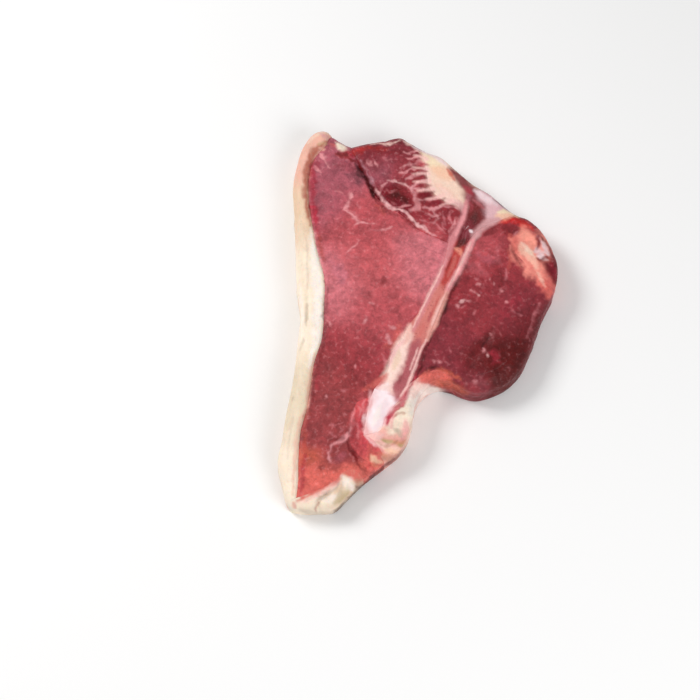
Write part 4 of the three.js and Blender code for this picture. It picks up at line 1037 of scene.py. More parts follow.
# %% Strokes of the kidney fat
KIDNEY_STROKES = [
    ("salmon", 0.9, (5.0, 8.0, 9.0, 6.0), [(64, 20), (67.6, 15.6), (69.6, 11.4), (71, 7)]),
    ("peach", 0.95, (7.0, 12.0, 13.4, 13.0, 11.0, 8.0), [
        (58.6, 47), (58.8, 41), (58.4, 34), (60.6, 28.4), (63.4, 22.6), (67, 17)]),
    ("orange_fat", 0.7, (3.6, 6.0, 4.0), [(57, 45), (60.6, 41), (61.6, 36.6)]),
    ("pale_peach", 0.85, (3.0, 5.6, 6.4, 4.0), [(55.4, 37), (58, 33), (61, 29), (64, 24)]),
    ("cream", 0.6, (1.6, 3.0, 2.0), [(57, 38.6), (59.6, 34.6), (63, 31)]),
    ("coral", 0.45, (2.0, 4.0, 4.0, 3.0), [(64, 18), (67, 14), (69, 10), (70, 6)]),
    ("salmon", 0.75, (2.6, 3.6, 2.6), [(53.4, 42), (53, 37.4), (53.4, 33)]),
    ("salmon", 0.6, (1.4, 2.4, 1.6), [(56.6, 31), (59.4, 26.6), (62.4, 21.6)]),
    ("coral", 0.55, (1.2, 2.0, 1.4), [(66.8, 18), (69.4, 14), (70.6, 9)]),
    ("coral", 0.5, (3.0, 5.4, 4.0), [(66, 15), (69, 11), (71, 6)]),
    ("cream", 0.35, (1.2, 2.0, 1.4), [(64, 21.6), (66.4, 17), (68.4, 12)]),
    ("lilac_white", 0.9, (2.0, 3.4, 3.0), [(64.6, 36), (66.4, 33), (68.6, 30.4)]),
    ("lilac_white", 0.9, (1.6, 3.0, 2.4), [(68, 39.4), (70, 36), (71.4, 32)]),
    ("pearl", 0.8, (1.2, 1.8, 1.4), [(65, 31.4), (67.4, 29.6), (70, 28.4)]),
    # Painted highlight: the small lilac patch.
    ("lilac", 0.7, (1.4, 2.0), [(66, 42.6), (67.4, 40)]),
    ("maroon", 0.85, (1.7, 2.8, 2.2, 1.6), [(67, 44), (65.8, 39.6), (65.4, 35.4)]),
    ("dark", 0.8, (1.6, 2.4, 2.0, 1.4), [(68, 42.6), (69.8, 40.4), (72, 37.6)]),
    ("wine", 0.85, (1.6, 2.6, 2.0), [(64.4, 29.8), (67, 28.8), (70.4, 30)]),
    ("dusk", 0.75, (1.6, 2.4, 2.0), [(71, 42), (73, 37), (74.4, 31)]),
    ("maroon", 0.9, (3.0, 5.4, 5.6, 4.0), [(69.4, 26.4), (72, 23.6), (74, 20), (75.6, 15)]),
    ("crimson", 0.6, (1.8, 3.0, 2.4), [(71.8, 26), (74, 22.4), (75.4, 17.6)]),
    ("dusk", 0.6, (1.2, 1.8, 2.0, 1.4), [(51, 38), (52, 33), (54, 28), (57, 24)]),
    ("coral", 0.5, (1.6, 2.4, 2.0), [(52.6, 41), (53, 36.4), (54.6, 31.6)]),
    ("vein", 0.6, (1.2, 1.6), [(54.6, 46), (52.6, 43.6)]),
]
print("strokes of the kidney fat:", len(KIDNEY_STROKES))

# %% Strokes of the gristle and the flank
FLANK_STROKES = [
    ("flank_red", 0.5, (5.0, 7.0, 8.0, 9.0, 8.0, 6.0), [
        (-30.6, -54), (-33, -62), (-33.6, -70), (-31, -78), (-28.6, -84), (-28, -90)]),
    ("garnet", 0.5, (1.6, 2.6, 3.0, 2.4), [(-35, -62), (-36, -68), (-36, -74), (-34, -79)]),
    ("cherry", 0.5, (1.6, 2.6, 2.0), [(-31, -50.4), (-31.6, -53.6), (-32.6, -57)]),
    ("vein", 0.45, (1.0, 1.5, 1.0), [(-33.6, -57.6), (-32, -61), (-33, -64.6)]),
    ("hot_crimson", 0.4, (1.8, 2.8, 2.2), [(-33, -63), (-32.6, -67), (-33.4, -71)]),
    ("vein", 0.5, (0.8, 1.3, 1.0, 0.8), [(-30, -54), (-31, -58.6), (-30.4, -63), (-32, -66.6)]),
    ("crimson", 0.5, (1.4, 2.4, 2.0, 1.4), [(-28.6, -55), (-29.6, -60), (-31, -65), (-32, -70)]),
    ("vein", 0.35, (1.0, 1.5, 1.0), [(-34.6, -67), (-33.4, -72), (-33.8, -76)]),
    ("crimson", 0.5, (2.0, 3.2, 2.0), [(-31, -76), (-29.6, -80), (-27, -83)]),
    ("coral", 0.6, (2.4, 4.4, 3.0), [(-28.4, -79), (-27, -84), (-29.6, -89)]),
    ("blood", 0.55, (2.0, 3.2, 2.4), [(-25.4, -88), (-27.6, -91), (-30, -92.6)]),
    ("cream", 0.8, (4.0, 8.0, 9.0, 7.0), [(-6.8, -54), (-9, -60), (-12, -66), (-16, -72)]),
    ("shell_pink", 0.8, (3.0, 5.0, 5.0, 4.0), [(-24, -78), (-19.6, -80), (-15.6, -81.6), (-12, -80)]),
    ("pink_bone", 0.6, (3.0, 4.4, 3.0), [(-8.6, -66), (-8.8, -71), (-10.4, -77)]),
    ("pearl", 0.97, (7.0, 10.6, 10.0, 9.6, 7.0), [
        (-20.6, -49.6), (-20.4, -55), (-22, -60.6), (-24.6, -66), (-25.4, -70.4)]),
    ("lilac_white", 0.6, (2.8, 5.0, 5.0, 3.4), [(-19, -54), (-20.6, -60), (-23.4, -66), (-25, -70.6)]),
    ("white_fat", 0.6, (1.8, 3.2, 2.4), [(-22, -58), (-24, -63.6), (-26.4, -68)]),
    ("pale_fascia_and_glint", 0.6, (1.8, 2.4, 2.6, 2.4, 2.2), [
        (-26.6, -50), (-27, -56), (-28.8, -62), (-30.6, -68), (-29.6, -73.6)]),
    ("pale_bone", 0.85, (3.0, 5.0, 4.0), [(-29, -74), (-24.6, -74.6), (-20.4, -73.4)]),
    ("shell_pink", 0.7, (2.6, 3.6, 2.6), [(-22.6, -47.6), (-18.6, -48), (-14.6, -50.4)]),
    ("marrow_low", 0.85, (3.4, 5.0, 3.4), [(-13, -46), (-12.4, -50), (-13.2, -54)]),
    ("pale_bone", 0.9, (1.2, 1.4, 1.4), [(-7.4, -46.6), (-9.4, -50.4), (-11, -54)]),
    ("fascia", 0.35, (1.4, 2.0, 2.0), [(-27.4, -49), (-26.6, -54), (-28, -59.6)]),
    ("pink_bone", 0.7, (2.4, 3.6, 3.0), [(-13, -57.6), (-16.4, -61.6), (-20, -68)]),
    ("hot_crimson", 0.95, (1.0, 1.3, 1.8, 2.6, 3.2, 2.2, 3.0, 2.2), [
        (-3, -41), (-5.6, -46.4), (-8, -51.4), (-9.8, -55), (-12, -58.6), (-15, -61.4), (-17.6, -64.4),
        (-18.6, -68)]),
    ("pink_bone", 0.7, (1.4, 1.9, 1.4), [(-12.6, -62), (-15.4, -65), (-16.2, -69.6)]),
    ("vein", 0.5, (1.4, 2.4, 1.6), [(-8, -52.6), (-10.4, -56), (-13.6, -60)]),
    ("brown", 0.7, (1.2, 1.7, 1.4), [(-14.6, -64.4), (-12, -62.4), (-9, -62.2)]),
    ("grey_fat_and_shade", 0.7, (1.8, 3.0, 2.0), [(-14, -70.4), (-12.6, -72.6), (-10.6, -74.6)]),
    ("olive", 0.75, (1.6, 2.6, 2.2), [(-21, -76), (-18, -77.2), (-15.6, -77.4)]),
    ("tan_orange", 0.85, (2.6, 4.6, 4.6, 3.0), [(-15, -77.6), (-11.6, -79), (-9, -79), (-7, -77)]),
    ("olive", 0.6, (1.6, 2.2), [(-12.8, -79.2), (-11, -80)]),
    ("peach_bone", 0.85, (2.4, 4.0, 3.0), [(-20, -81), (-16, -82), (-12.4, -83)]),
    ("pale_fascia_and_glint", 0.9, (1.5, 2.1, 2.1, 1.8), [
        (-30.4, -72.5), (-28.6, -75.6), (-25.4, -78.6), (-21, -82)]),
    ("brown", 0.8, (2.4, 4.4, 4.0, 3.0), [(-21.4, -84.6), (-18, -87), (-15, -86), (-12.6, -84)]),
    ("peach_bone", 0.85, (1.2, 3.4, 2.6, 1.6), [
        (-27, -84.6), (-25.4, -86.6), (-23.6, -88.2), (-20.4, -88.8)]),
    ("tan_orange", 0.6, (1.0, 1.7, 1.2), [(-27.4, -89.4), (-25, -90.6), (-22.4, -91)]),
    ("coral", 0.7, (2.2, 3.4, 2.6), [(-30, -93), (-26, -92), (-22.6, -92)]),
    # Painted shade on the flank's dark lower edge and its wall: this stroke and the next.
    ("umber", 0.8, (1.4, 2.2, 2.6, 2.2), [(-8, -81), (-12, -85), (-17, -89.2), (-22, -93)]),
    ("bark", 0.8, (1.4, 2.4, 2.8, 2.4), [(-20, -92), (-24, -95.2), (-28.6, -99), (-33, -103.6)]),
    ("brown", 0.6, (1.0, 1.6, 1.4, 1.0), [(-24, -77), (-20.6, -79.4), (-17, -79), (-13.4, -76.6)]),
    ("tan_orange", 0.5, (1.4, 2.4, 2.0), [(-23, -83.6), (-19.6, -84.4), (-15.6, -83.6)]),
    ("salmon", 0.5, (2.4, 3.6, 2.6), [(-24.6, -80), (-21.6, -82.6), (-22.4, -86)]),
    ("white_fat", 0.85, (4.0, 7.0, 8.0, 7.0, 5.0), [
        (-4.6, -62), (-3, -54), (0, -50), (5.6, -49.6), (11, -50.6)]),
    ("shell_pink", 0.8, (3.0, 5.0, 4.6, 3.0), [(-5, -53), (-3, -48.6), (0, -47), (4, -47.4)]),
    ("coral", 0.85, (2.4, 4.4, 4.6, 3.6), [(-0.6, -42.6), (3, -43.6), (7.4, -44.6), (11.6, -46)]),
    ("coral", 0.95, (2.8, 4.8, 5.0, 4.2), [(-0.6, -41), (4, -40.6), (9.6, -41), (15, -42.6)]),
    ("brick", 0.85, (2.6, 4.4, 5.0, 4.6, 3.4), [
        (5.4, -44.4), (10, -45.2), (15, -46.4), (19.6, -48.4), (24.6, -51)]),
    ("rust", 0.6, (1.6, 2.6, 2.6, 1.8), [(9.6, -46.4), (14, -48), (18.4, -50), (22, -52.6)]),
    ("garnet", 0.6, (3.0, 5.0, 5.0), [(20, -44.6), (25, -47.6), (30, -50)]),
    # Painted shade on the near wall along the lower edge.
    ("dark", 0.7, (1.2, 2.0, 2.2, 1.6), [(12, -50.4), (16.4, -52.4), (20.6, -54.6), (25, -56)]),
]
print("strokes of the gristle and the flank:", len(FLANK_STROKES))

# %% Strokes of the tail
TAIL_STROKES = [
    ("coral", 0.95, (1.8, 3.0, 4.0, 4.6, 5.0), [
        (-65, -108), (-60, -106), (-54, -102.6), (-48, -98.6), (-43.6, -94.4)]),
    ("coral", 0.98, (5.0, 7.4, 7.4, 5.0), [(-43, -92.4), (-38.6, -92.4), (-34.4, -94.6), (-31, -97.4)]),
    ("shell_pink", 0.7, (1.6, 2.8, 3.0, 2.6), [
        (-63.4, -110), (-56, -106.4), (-48.6, -102.4), (-43.6, -98.4)]),
    ("salmon", 0.5, (1.4, 2.2, 1.6), [(-47.6, -100.4), (-44, -97), (-40.6, -94.6)]),
    ("white_fat", 0.85, (3.0, 5.4, 4.0), [(-41.6, -96), (-39.4, -99.4), (-37.4, -102.8)]),
    ("white_fat", 0.6, (2.4, 4.6, 3.0), [(-52.6, -108), (-48.6, -107.6), (-45.6, -105.4)]),
    # Painted shade: the grey line in the fold of the tail fat, and the brown stroke where the fold runs
    # down the wall.
    ("grey_fat_and_shade", 0.7, (1.6, 2.2, 2.0, 1.6, 1.2), [
        (-55, -108.6), (-52, -106.6), (-49.4, -105), (-46.4, -102.4), (-44, -99.4)]),
    ("brown", 0.75, (1.2, 1.6, 1.4), [(-56, -115.4), (-55.8, -112.6), (-54.6, -109.8)]),
    # Painted shade: olive where the fat lies in shade along the second fold.
    ("olive", 0.5, (3.0, 5.0, 4.0), [(-46, -109.6), (-42.8, -107.4), (-39.6, -104)]),
    ("butter", 0.5, (2.0, 3.4, 2.6), [(-44.6, -106), (-41.4, -103.4), (-39, -100)]),
    # Painted shade along the tail's lower edge and its wall: this grey stroke and the two dark brown ones
    # after the next.
    ("grey_fat_and_shade", 0.45, (2.4, 4.0, 3.0), [(-64, -114.6), (-56, -116.8), (-48, -117)]),
    ("brown", 0.7, (2.6, 4.4, 3.6), [(-34.6, -97.6), (-33, -99.8), (-33.6, -102)]),
    ("bark", 0.9, (1.6, 3.4, 4.4, 4.0, 2.6), [
        (-48, -118.4), (-43.4, -115), (-38.8, -110.6), (-34.6, -106), (-30.6, -101.6)]),
    ("bark", 0.6, (1.0, 2.0, 1.0), [(-35, -101.6), (-33, -103.4), (-31, -103)]),
    ("salmon", 0.5, (1.4, 2.2), [(-67.4, -109), (-66.6, -113)]),
]
print("strokes of the tail:", len(TAIL_STROKES))
LAYERS = [
    (0.6, FAT_STROKES), (1.0, LOIN_EDGE_STROKES), (1.0, LOIN_STROKES), (1.0, MARBLED_STROKES),
    (1.0, FILLET_STROKES), (0.3, BONE_STROKES), (0.8, KIDNEY_STROKES), (0.7, FLANK_STROKES),
    (0.6, TAIL_STROKES),
]
print("strokes:", sum(len(strokes) for unsteady, strokes in LAYERS))

# %% Laying the strokes on
STROKE_WARP = 0.75
STROKE_WARP_SIZE = 4.4
SOFT_LEAST = 0.36
SOFT_SHARE = 0.46
RAGGED = 0.24
RAGGED_SIZE = 2.2
SWELLING = 0.5
SWELLING_SIZE = 3.6
WORN_EVENLY = 0.10
WORN_IN_PLACES = 0.80
WORN_SIZE = 2.6
WORN_MOST = 0.7
VEIN_WIDTH = 1.3
END_WIDTH = 0.6
END_TAPER = 8


def paint(tissue, x, y):
    """Colour and fattiness at each place: the wash, then each stroke mixed in by its strength.

    A stroke is full inside half its width less its softness, and gone outside half its width plus it. The
    places are moved by noise first, the edge is ragged and the width swells by noise, and thin strokes
    fade and come back along their way. A layer's unsteadiness scales all of these, since bone has cleaner
    edges than muscle.
    """
    colour, fatty = wash(tissue, x, y)
    warp_x = STROKE_WARP * grain(x, y, STROKE_WARP_SIZE, 71, 3)
    warp_y = STROKE_WARP * grain(x, y, STROKE_WARP_SIZE, 74, 3)
    ragged = RAGGED * grain(x, y, RAGGED_SIZE, 76, 2)
    swelling = SWELLING * grain(x, y, SWELLING_SIZE, 81, 2)
    worn = np.clip(WORN_EVENLY - WORN_IN_PLACES * grain(x, y, WORN_SIZE, 78, 2), 0, WORN_MOST)
    for unsteady, strokes in LAYERS:
        moved_x, moved_y = x + unsteady * warp_x, y + unsteady * warp_y
        for name, strength, widths, points in strokes:
            line = catmull_rom(points, samples=8)
            widest = max(widths)
            reach = widest + SOFT_LEAST + 1.0
            distance, share = distance_to(line, moved_x, moved_y, reach)
            half = np.interp(share, np.linspace(0, 1, len(widths)), widths) / 2 * (1 + unsteady * swelling)
            half *= END_WIDTH + (1 - END_WIDTH) * np.clip(END_TAPER * share * (1 - share), 0, 1)
            soft = SOFT_LEAST + SOFT_SHARE * widest / 2
            mask = 1 - smoothstep(distance - half + unsteady * ragged * math.sqrt(widest), -soft, soft)
            mask *= strength * (1 - unsteady * worn * min(1.0, VEIN_WIDTH / widest)) * (distance < reach)
            colour += mask[:, None] * (linear(name) - colour)
            fatty += mask * ((name in FATTY) - fatty)
    return colour, fatty


test_colour, test_fatty = paint("strip_loin", np.array([-30.0]), np.array([10.0]))
print("the strip loin's middle is painted", test_colour.round(3), "with fattiness", test_fatty.round(2))

# %% [markdown]
# ## From a plan to a closed slice
#
# A tissue runs through the whole slice, so each piece is a closed shell: the face, a wall down from its
# border, and the flat underside. Where the border is the rim, the wall bulges out by the edge's inset and
# comes back, as soft meat does on a table. Along a seam it goes straight down, so it lies against its
# neighbour. The underside needs few faces, since it is flat, so it takes every fourth grid point and
# meets the wall's fine points in many-sided faces.

# %% The wall
UPPER_STEPS = 5
MIDDLE_STEPS = 8
LOWER_STEPS = 4
LOWER_HEIGHT = 4.0
START_ANGLE = math.asin(1 - INSET_SHARE)
WALL_BUMP = 0.5
WALL_BUMP_SIZE = 5.5


def wall(ring, top):
    """Levels of points from the face down to the floor, by each border place's outward direction n.

    The upper bend is a quarter ellipse that has already begun on the face: out by a (sin p - sin p0),
    down by b (cos p0 - cos p). Then it is straight but for noise, and the lower bend is a quarter ellipse
    back in.
    """
    x, y, nx, ny, width = ring.T
    out, z = [], []
    for angle in np.linspace(START_ANGLE, math.pi / 2, UPPER_STEPS + 1)[1:]:
        out.append(width * (math.sin(angle) - math.sin(START_ANGLE)))
        z.append(top - EDGE_DROP * width * (math.cos(START_ANGLE) - math.cos(angle)))
    widest = INSET_SHARE * width
    shoulder_z = z[-1]
    for share in np.linspace(0, 1, MIDDLE_STEPS + 1)[1:]:
        level = shoulder_z + (LOWER_HEIGHT - shoulder_z) * share
        bump = WALL_BUMP * grain(x + y * 0.6, y + level * 1.2, WALL_BUMP_SIZE, 81, 3)
        out.append(widest + bump * math.sin(math.pi * share))
        z.append(level)
    for angle in np.linspace(0, math.pi / 2, LOWER_STEPS + 1)[1:]:
        out.append(widest * math.cos(angle))
        z.append(np.full(len(ring), LOWER_HEIGHT * (1 - math.sin(angle))))
    out, z = np.array(out), np.array(z)
    return np.stack([x + nx * out, y + ny * out, z], axis=2)


print("levels in a wall:", UPPER_STEPS + MIDDLE_STEPS + LOWER_STEPS)


# %% Four-sided faces, and those of the underside
def squares(*corners):
    """Four-sided faces from four tables of vertex numbers, one table to each corner."""
    return np.stack(corners, axis=2).reshape(-1, 4).tolist()


def underside_faces(across, along, inner, floor_ring):
    """Faces of the flat underside: coarse squares inside, and one ring of many-sided faces out to the wall.

    inner is the table of coarse inner vertices, and floor_ring the fine ones, both as vertex numbers.
    """
    faces = squares(inner[:-1, :-1], inner[:-1, 1:], inner[1:, 1:], inner[1:, :-1])
    sides = [inner[0], inner[:, -1], inner[-1, ::-1], inner[::-1, 0]]
    start = 0
    for coarse, count in zip(sides, (across, along, across, along)):
        first = start + COARSE * np.arange(1, len(coarse))
        fine = floor_ring[(first[:, None] + np.arange(COARSE + 1)) % len(floor_ring)]
        faces += np.column_stack([fine, coarse[1:], coarse[:-1]]).tolist()
        corner = floor_ring[(start + np.arange(-COARSE, COARSE + 1)) % len(floor_ring)]
        faces.append([*corner.tolist(), int(coarse[0])])
        start += count
    return [face[::-1] for face in faces]


print("corners of a face at the underside's edge:", COARSE + 3)

# %% Where a vertex takes its paint from
HIDDEN_DEPTHS = (3.0, 9.0)
SIDEWAYS = (0.3, 0.8)
FACING = (-0.1, 0.5)


def seen_at(vertices, outward):
    """Rows of the plan place that a vertex takes its paint from, and how far it is out of sight, from 0
    to 1.

    The paint comes from where the camera sees the vertex on the top of the slice: a place that lies d
    below the top is seen d / tan(elevation) nearer. A side that faces away from the camera is unfolded by
    as much along its own outward direction instead.
    """
    below = thickness(vertices[:, 1]) - vertices[:, 2]
    facing = smoothstep(-outward[:, 1], *FACING)[:, None]
    shift = outward * (1 - facing) + np.array([0, -1]) * facing
    sideways = 1 - smoothstep(-outward[:, 1], *SIDEWAYS)
    hidden = sideways * smoothstep(below, *HIDDEN_DEPTHS) * np.any(outward, axis=1)
    return np.column_stack([vertices[:, :2] + (below / math.tan(ELEVATION))[:, None] * shift, hidden])


test_row = seen_at(np.array([[0.0, 0.0, 10.0]]), np.array([[1.0, 0.0]]))
print("a place 12 mm down a side that faces right is painted as", test_row.round(2))


# %% The whole shell of a tissue
def shell(tissue):
    """Vertices in mm and faces of a tissue's closed slice, with seen_at's row for each vertex."""
    grid, ring = grids[tissue], rings[tissue]
    along, across = grid.shape[0] - 1, grid.shape[1] - 1
    flat = grid.reshape(-1, 2)
    face = np.column_stack([flat, height(tissue, flat[:, 0], flat[:, 1])])
    number = np.arange(len(flat)).reshape(grid.shape[:2])
    border = np.concatenate([number[0, :-1], number[:-1, -1], number[-1, :0:-1], number[:0:-1, 0]])
    levels = wall(ring, face[border, 2])
    below = grid[COARSE:-1:COARSE, COARSE:-1:COARSE]
    vertices = np.vstack([face, levels.reshape(-1, 3), np.pad(below.reshape(-1, 2), ((0, 0), (0, 1)))])
    faces = squares(number[:-1, :-1], number[:-1, 1:], number[1:, 1:], number[1:, :-1])
    rows = np.vstack([border, len(flat) + np.arange(levels.shape[0] * len(ring)).reshape(levels.shape[:2])])
    after = np.roll(rows, -1, axis=1)
    faces += squares(rows[:-1], rows[1:], after[1:], after[:-1])
    inner = len(flat) + levels.shape[0] * len(ring) + np.arange(below.shape[0] * below.shape[1])
    faces += underside_faces(across, along, inner.reshape(below.shape[:2]), rows[-1])
    face_paint = seen_at(face, np.tile([0, -1], (len(face), 1)))
    wall_paint = seen_at(levels.reshape(-1, 3), np.tile(ring[:, 2:4], (levels.shape[0], 1)))
    paint_at = np.vstack([face_paint, wall_paint, np.pad(below.reshape(-1, 2), ((0, 0), (0, 1)))])
    return vertices, faces, paint_at


print("vertices in the gristle's shell:", len(shell("gristle_tip")[0]))

# %% [markdown]
# ## Materials
#
# Shader nodes can be wired one by one, but long sums are hard to read that way. A small class wraps a
# socket, so that an expression such as a * 0.3 + 0.5 adds its own Math nodes. The painted colour comes in
# as an attribute, and procedural detail finer than the mesh is laid over it in Object coordinates.

# %% A socket that can be used in expressions
class Socket:
    """A node's output that + - and * work on, each adding a Math node."""

    def __init__(self, make, socket):
        self.make = make
        self.socket = socket

    def math(self, operation, one, other):
        """A Math node on two values or sockets."""
        return self.make("ShaderNodeMath", {"operation": operation}, {0: one, 1: other})

    def __add__(self, other):
        return self.math("ADD", self, other)

    def __sub__(self, other):
        return self.math("SUBTRACT", self, other)

    def __mul__(self, other):
        return self.math("MULTIPLY", self, other)

    def __rsub__(self, other):
        return self.math("SUBTRACT", other, self)

    __radd__ = __add__
    __rmul__ = __mul__


print("a socket knows:", ", ".join(name for name, what in vars(Socket).items() if callable(what)))


# %% A finish: a material and what adds its nodes
class Finish:
    """A new material, with one method that adds any node."""

    def __init__(self, name):
        self.material = bpy.data.materials.new(name)
        self.material.use_nodes = True
        self.tree = self.material.node_tree
        self.shader = self.tree.nodes["Principled BSDF"]

    def add(self, kind, settings=None, inputs=None, output=0):
        """Add a node, with its settings first, then its inputs by name or number, and give an output."""
        node = self.tree.nodes.new(kind)
        for name, value in (settings or {}).items():
            setattr(node, name, value)
        for name, value in (inputs or {}).items():
            self.set(node.inputs[name], value)
        return Socket(self.add, node.outputs[output])

    def set(self, target, value):
        """Link a socket to an input, or give the input a plain value."""
        if isinstance(value, Socket):
            self.tree.links.new(value.socket, target)
        else:
            target.default_value = value

    def surface(self, **values):
        """Set the shader's sockets, with spaces in their names written as underscores."""
        for name, value in values.items():
            self.set(self.shader.inputs[name.replace("_", " ")], value)

    def mix(self, share, one, other, blend="MIX"):
        """Colours one and other mixed by share, or other laid on one by a blend mode."""
        settings = {"data_type": "RGBA", "blend_type": blend, "clamp_factor": True}
        return self.add("ShaderNodeMix", settings, {0: share, 6: one, 7: other}, output=2)

    def range(self, value, start, end):
        """A smooth step of value: 0 at start, 1 at end."""
        settings = {"interpolation_type": "SMOOTHSTEP"}
        return self.add("ShaderNodeMapRange", settings, {0: value, 1: start, 2: end})

    def place(self):
        """The place on the object, in metres."""
        return self.add("ShaderNodeTexCoord", output="Object")

    def attribute(self, name, output):
        """What was painted on the vertices under a name."""
        return self.add("ShaderNodeAttribute", {"attribute_name": name}, output=output)

    def noise(self, place, size_mm, detail=3.0, rough=0.55, distortion=0.0):
        """Noise whose largest blobs measure about size_mm."""
        values = {"Vector": place, "Scale": 1 / (size_mm * MM)}
        values.update({"Detail": detail, "Roughness": rough, "Distortion": distortion})
        return self.add("ShaderNodeTexNoise", None, values)

    def bump(self, height, strength, distance_mm):
        """A normal from a height, where a height of 1 stands for distance_mm."""
        values = {"Strength": strength, "Distance": distance_mm * MM, "Height": height}
        return self.add("ShaderNodeBump", None, values)

    def shade(self, colour, value):
        """A colour multiplied by a value on all three channels."""
        grey = self.add("ShaderNodeCombineColor", None, {0: value, 1: value, 2: value})
        return self.mix(1.0, colour, grey, "MULTIPLY")


print("a finish can:", ", ".join(name for name in vars(Finish) if not name.startswith("_")))

# %% [markdown]
# ### Muscle
#
# Cut muscle shows its fibre bundles end on, as soft blotches of one to four millimetres, with pale specks
# of fat between them and darker wet pits. Cells with walls would look like leather, so noises of several
# sizes are stretched in contrast and laid over each other. The same noises lift the surface a little, and
# that breaks the shine into the small sparks that wet meat has.
#
# The thin fats at the notch and at the kidney corner have meat in them, so they take this finish too. Its
# specks, pits and blotches fade where the paint is fatty.

# %% Muscle finish
FIBRE_MM = 1.5
BLOTCH_MM = 4.4
BROAD_MM = 10.0
SPECK_MM = 2.2
PIT_MM = 2.4
SPECK_COLOUR = (0.90, 0.44, 0.46, 1)
SPECK_STRENGTH = 0.26
PIT_COLOUR = (0.15, 0.012, 0.018, 1)
PIT_STRENGTH = 0.14


def muscle(name, marbling):
    """Wet cut meat: marbling says how strongly the pale specks show."""
    finish = Finish(name)
    place = finish.place()
    tint = finish.attribute("tint", "Color")
    fatty = finish.attribute("fatty", "Fac")
    lean = 1 - fatty
    fine = finish.range(finish.noise(place, FIBRE_MM, 3.0, 0.6), 0.30, 0.70)
    blotch = finish.range(finish.noise(place, BLOTCH_MM, 4.0, 0.6, 0.5), 0.34, 0.66)
    broad = finish.range(finish.noise(place, BROAD_MM, 3.0), 0.34, 0.66)
    specks = finish.range(finish.noise(place, SPECK_MM, 2.0, 0.5), 0.54, 0.76)
    pits = finish.range(finish.noise(place, PIT_MM, 3.0, 0.6), 0.42, 0.26)
    pale = finish.mix(SPECK_STRENGTH, tint, SPECK_COLOUR)
    colour = finish.mix(specks * marbling * lean, tint, pale)
    colour = finish.mix(pits * lean * PIT_STRENGTH, colour, PIT_COLOUR)
    value = 0.98 + (fine - 0.5) * (0.10 + lean * 0.10) + (blotch - 0.5) * lean * 0.32 + (broad - 0.5) * 0.20
    relief = fine * 0.35 + blotch * 0.55 + specks * 0.1 - pits * 0.4 + broad * 0.5
    finish.surface(
        Base_Color=finish.shade(colour, value), Normal=finish.bump(relief, 0.42, 0.5),
        Roughness=0.57 - blotch * 0.12 + fatty * 0.02, IOR=1.31, Coat_Weight=0.03, Coat_Roughness=0.20,
        Subsurface_Weight=0.05, Subsurface_Radius=(1.0, 0.25, 0.18), Subsurface_Scale=1.5 * MM)
    return finish.material


MARBLING = {
    "strip_loin": ("strip_loin_meat", 0.55), "marbled_muscle": ("marbled_meat", 0.6),
    "tenderloin": ("tenderloin_meat", 0.35), "flank_muscle": ("flank_meat", 0.3),
    "flank_fat": ("flank_fat", 0.55), "kidney_fat": ("kidney_fat", 0.55),
}
FINISHES = {tissue: (slot, muscle(slot, marbling)) for tissue, (slot, marbling) in MARBLING.items()}
print("muscle finishes:", ", ".join(FINISHES))

# %% [markdown]
# ### Fat
#
# Hard beef fat is waxy: light goes in a little way and comes out softly, and the shine is broad. Its
# colour runs in faint streaks along the band. Subsurface light gives the softness that a plain diffuse
# white never has.

# %% Fat finish
STREAK_MM = 2.6
STREAK_STRETCH = (1.0, 0.32, 0.5)
STREAK_COLOUR = (0.80, 0.56, 0.42, 1)
STREAK_STRENGTH = 0.24
MOTTLE_MM = 5.0
PORE_MM = 0.9


def fat(name):
    """Waxy fat with streaks drawn out along the steak, a broad mottle and small pores."""
    finish = Finish(name)
    place = finish.place()
    tint = finish.attribute("tint", "Color")
    long = finish.add("ShaderNodeMapping", None, {"Vector": place, "Scale": STREAK_STRETCH})
    streaks = finish.range(finish.noise(long, STREAK_MM, 4.0, 0.6, 0.6), 0.50, 0.72)
    mottle = finish.noise(place, MOTTLE_MM, 3.0)
    pores = finish.range(finish.noise(place, PORE_MM, 2.0), 0.36, 0.28)
    colour = finish.mix(streaks * STREAK_STRENGTH, tint, STREAK_COLOUR)
    colour = finish.shade(colour, 0.90 + mottle * 0.20 - pores * 0.10)
    relief = mottle * 0.6 + streaks * 0.3 - pores * 0.4 + finish.noise(place, 0.7, 2.0) * 0.2
    finish.surface(
        Base_Color=colour, Normal=finish.bump(relief, 0.4, 0.6), Roughness=0.44 + mottle * 0.12, IOR=1.44,
        Subsurface_Weight=0.22, Subsurface_Radius=(1.0, 0.55, 0.35), Subsurface_Scale=2.2 * MM)
    return finish.material


for tissue in ("back_fat", "tail_fat"):
    FINISHES[tissue] = (tissue, fat(tissue))
print("finishes so far:", len(FINISHES))

# %% [markdown]
# ### Bone and gristle
#
# The saw leaves the bone's hard wall smooth and its inside spongy, with red marrow in small holes. The
# paint tells them apart, since the hard wall's colours count as fatty ones. Gristle has no grain at all
# and is the shiniest thing on the steak.

# %% Bone finish
HOLE_MM = 1.1
HOLE_COLOUR = (0.30, 0.04, 0.05, 1)
HOLE_STRENGTH = 0.40


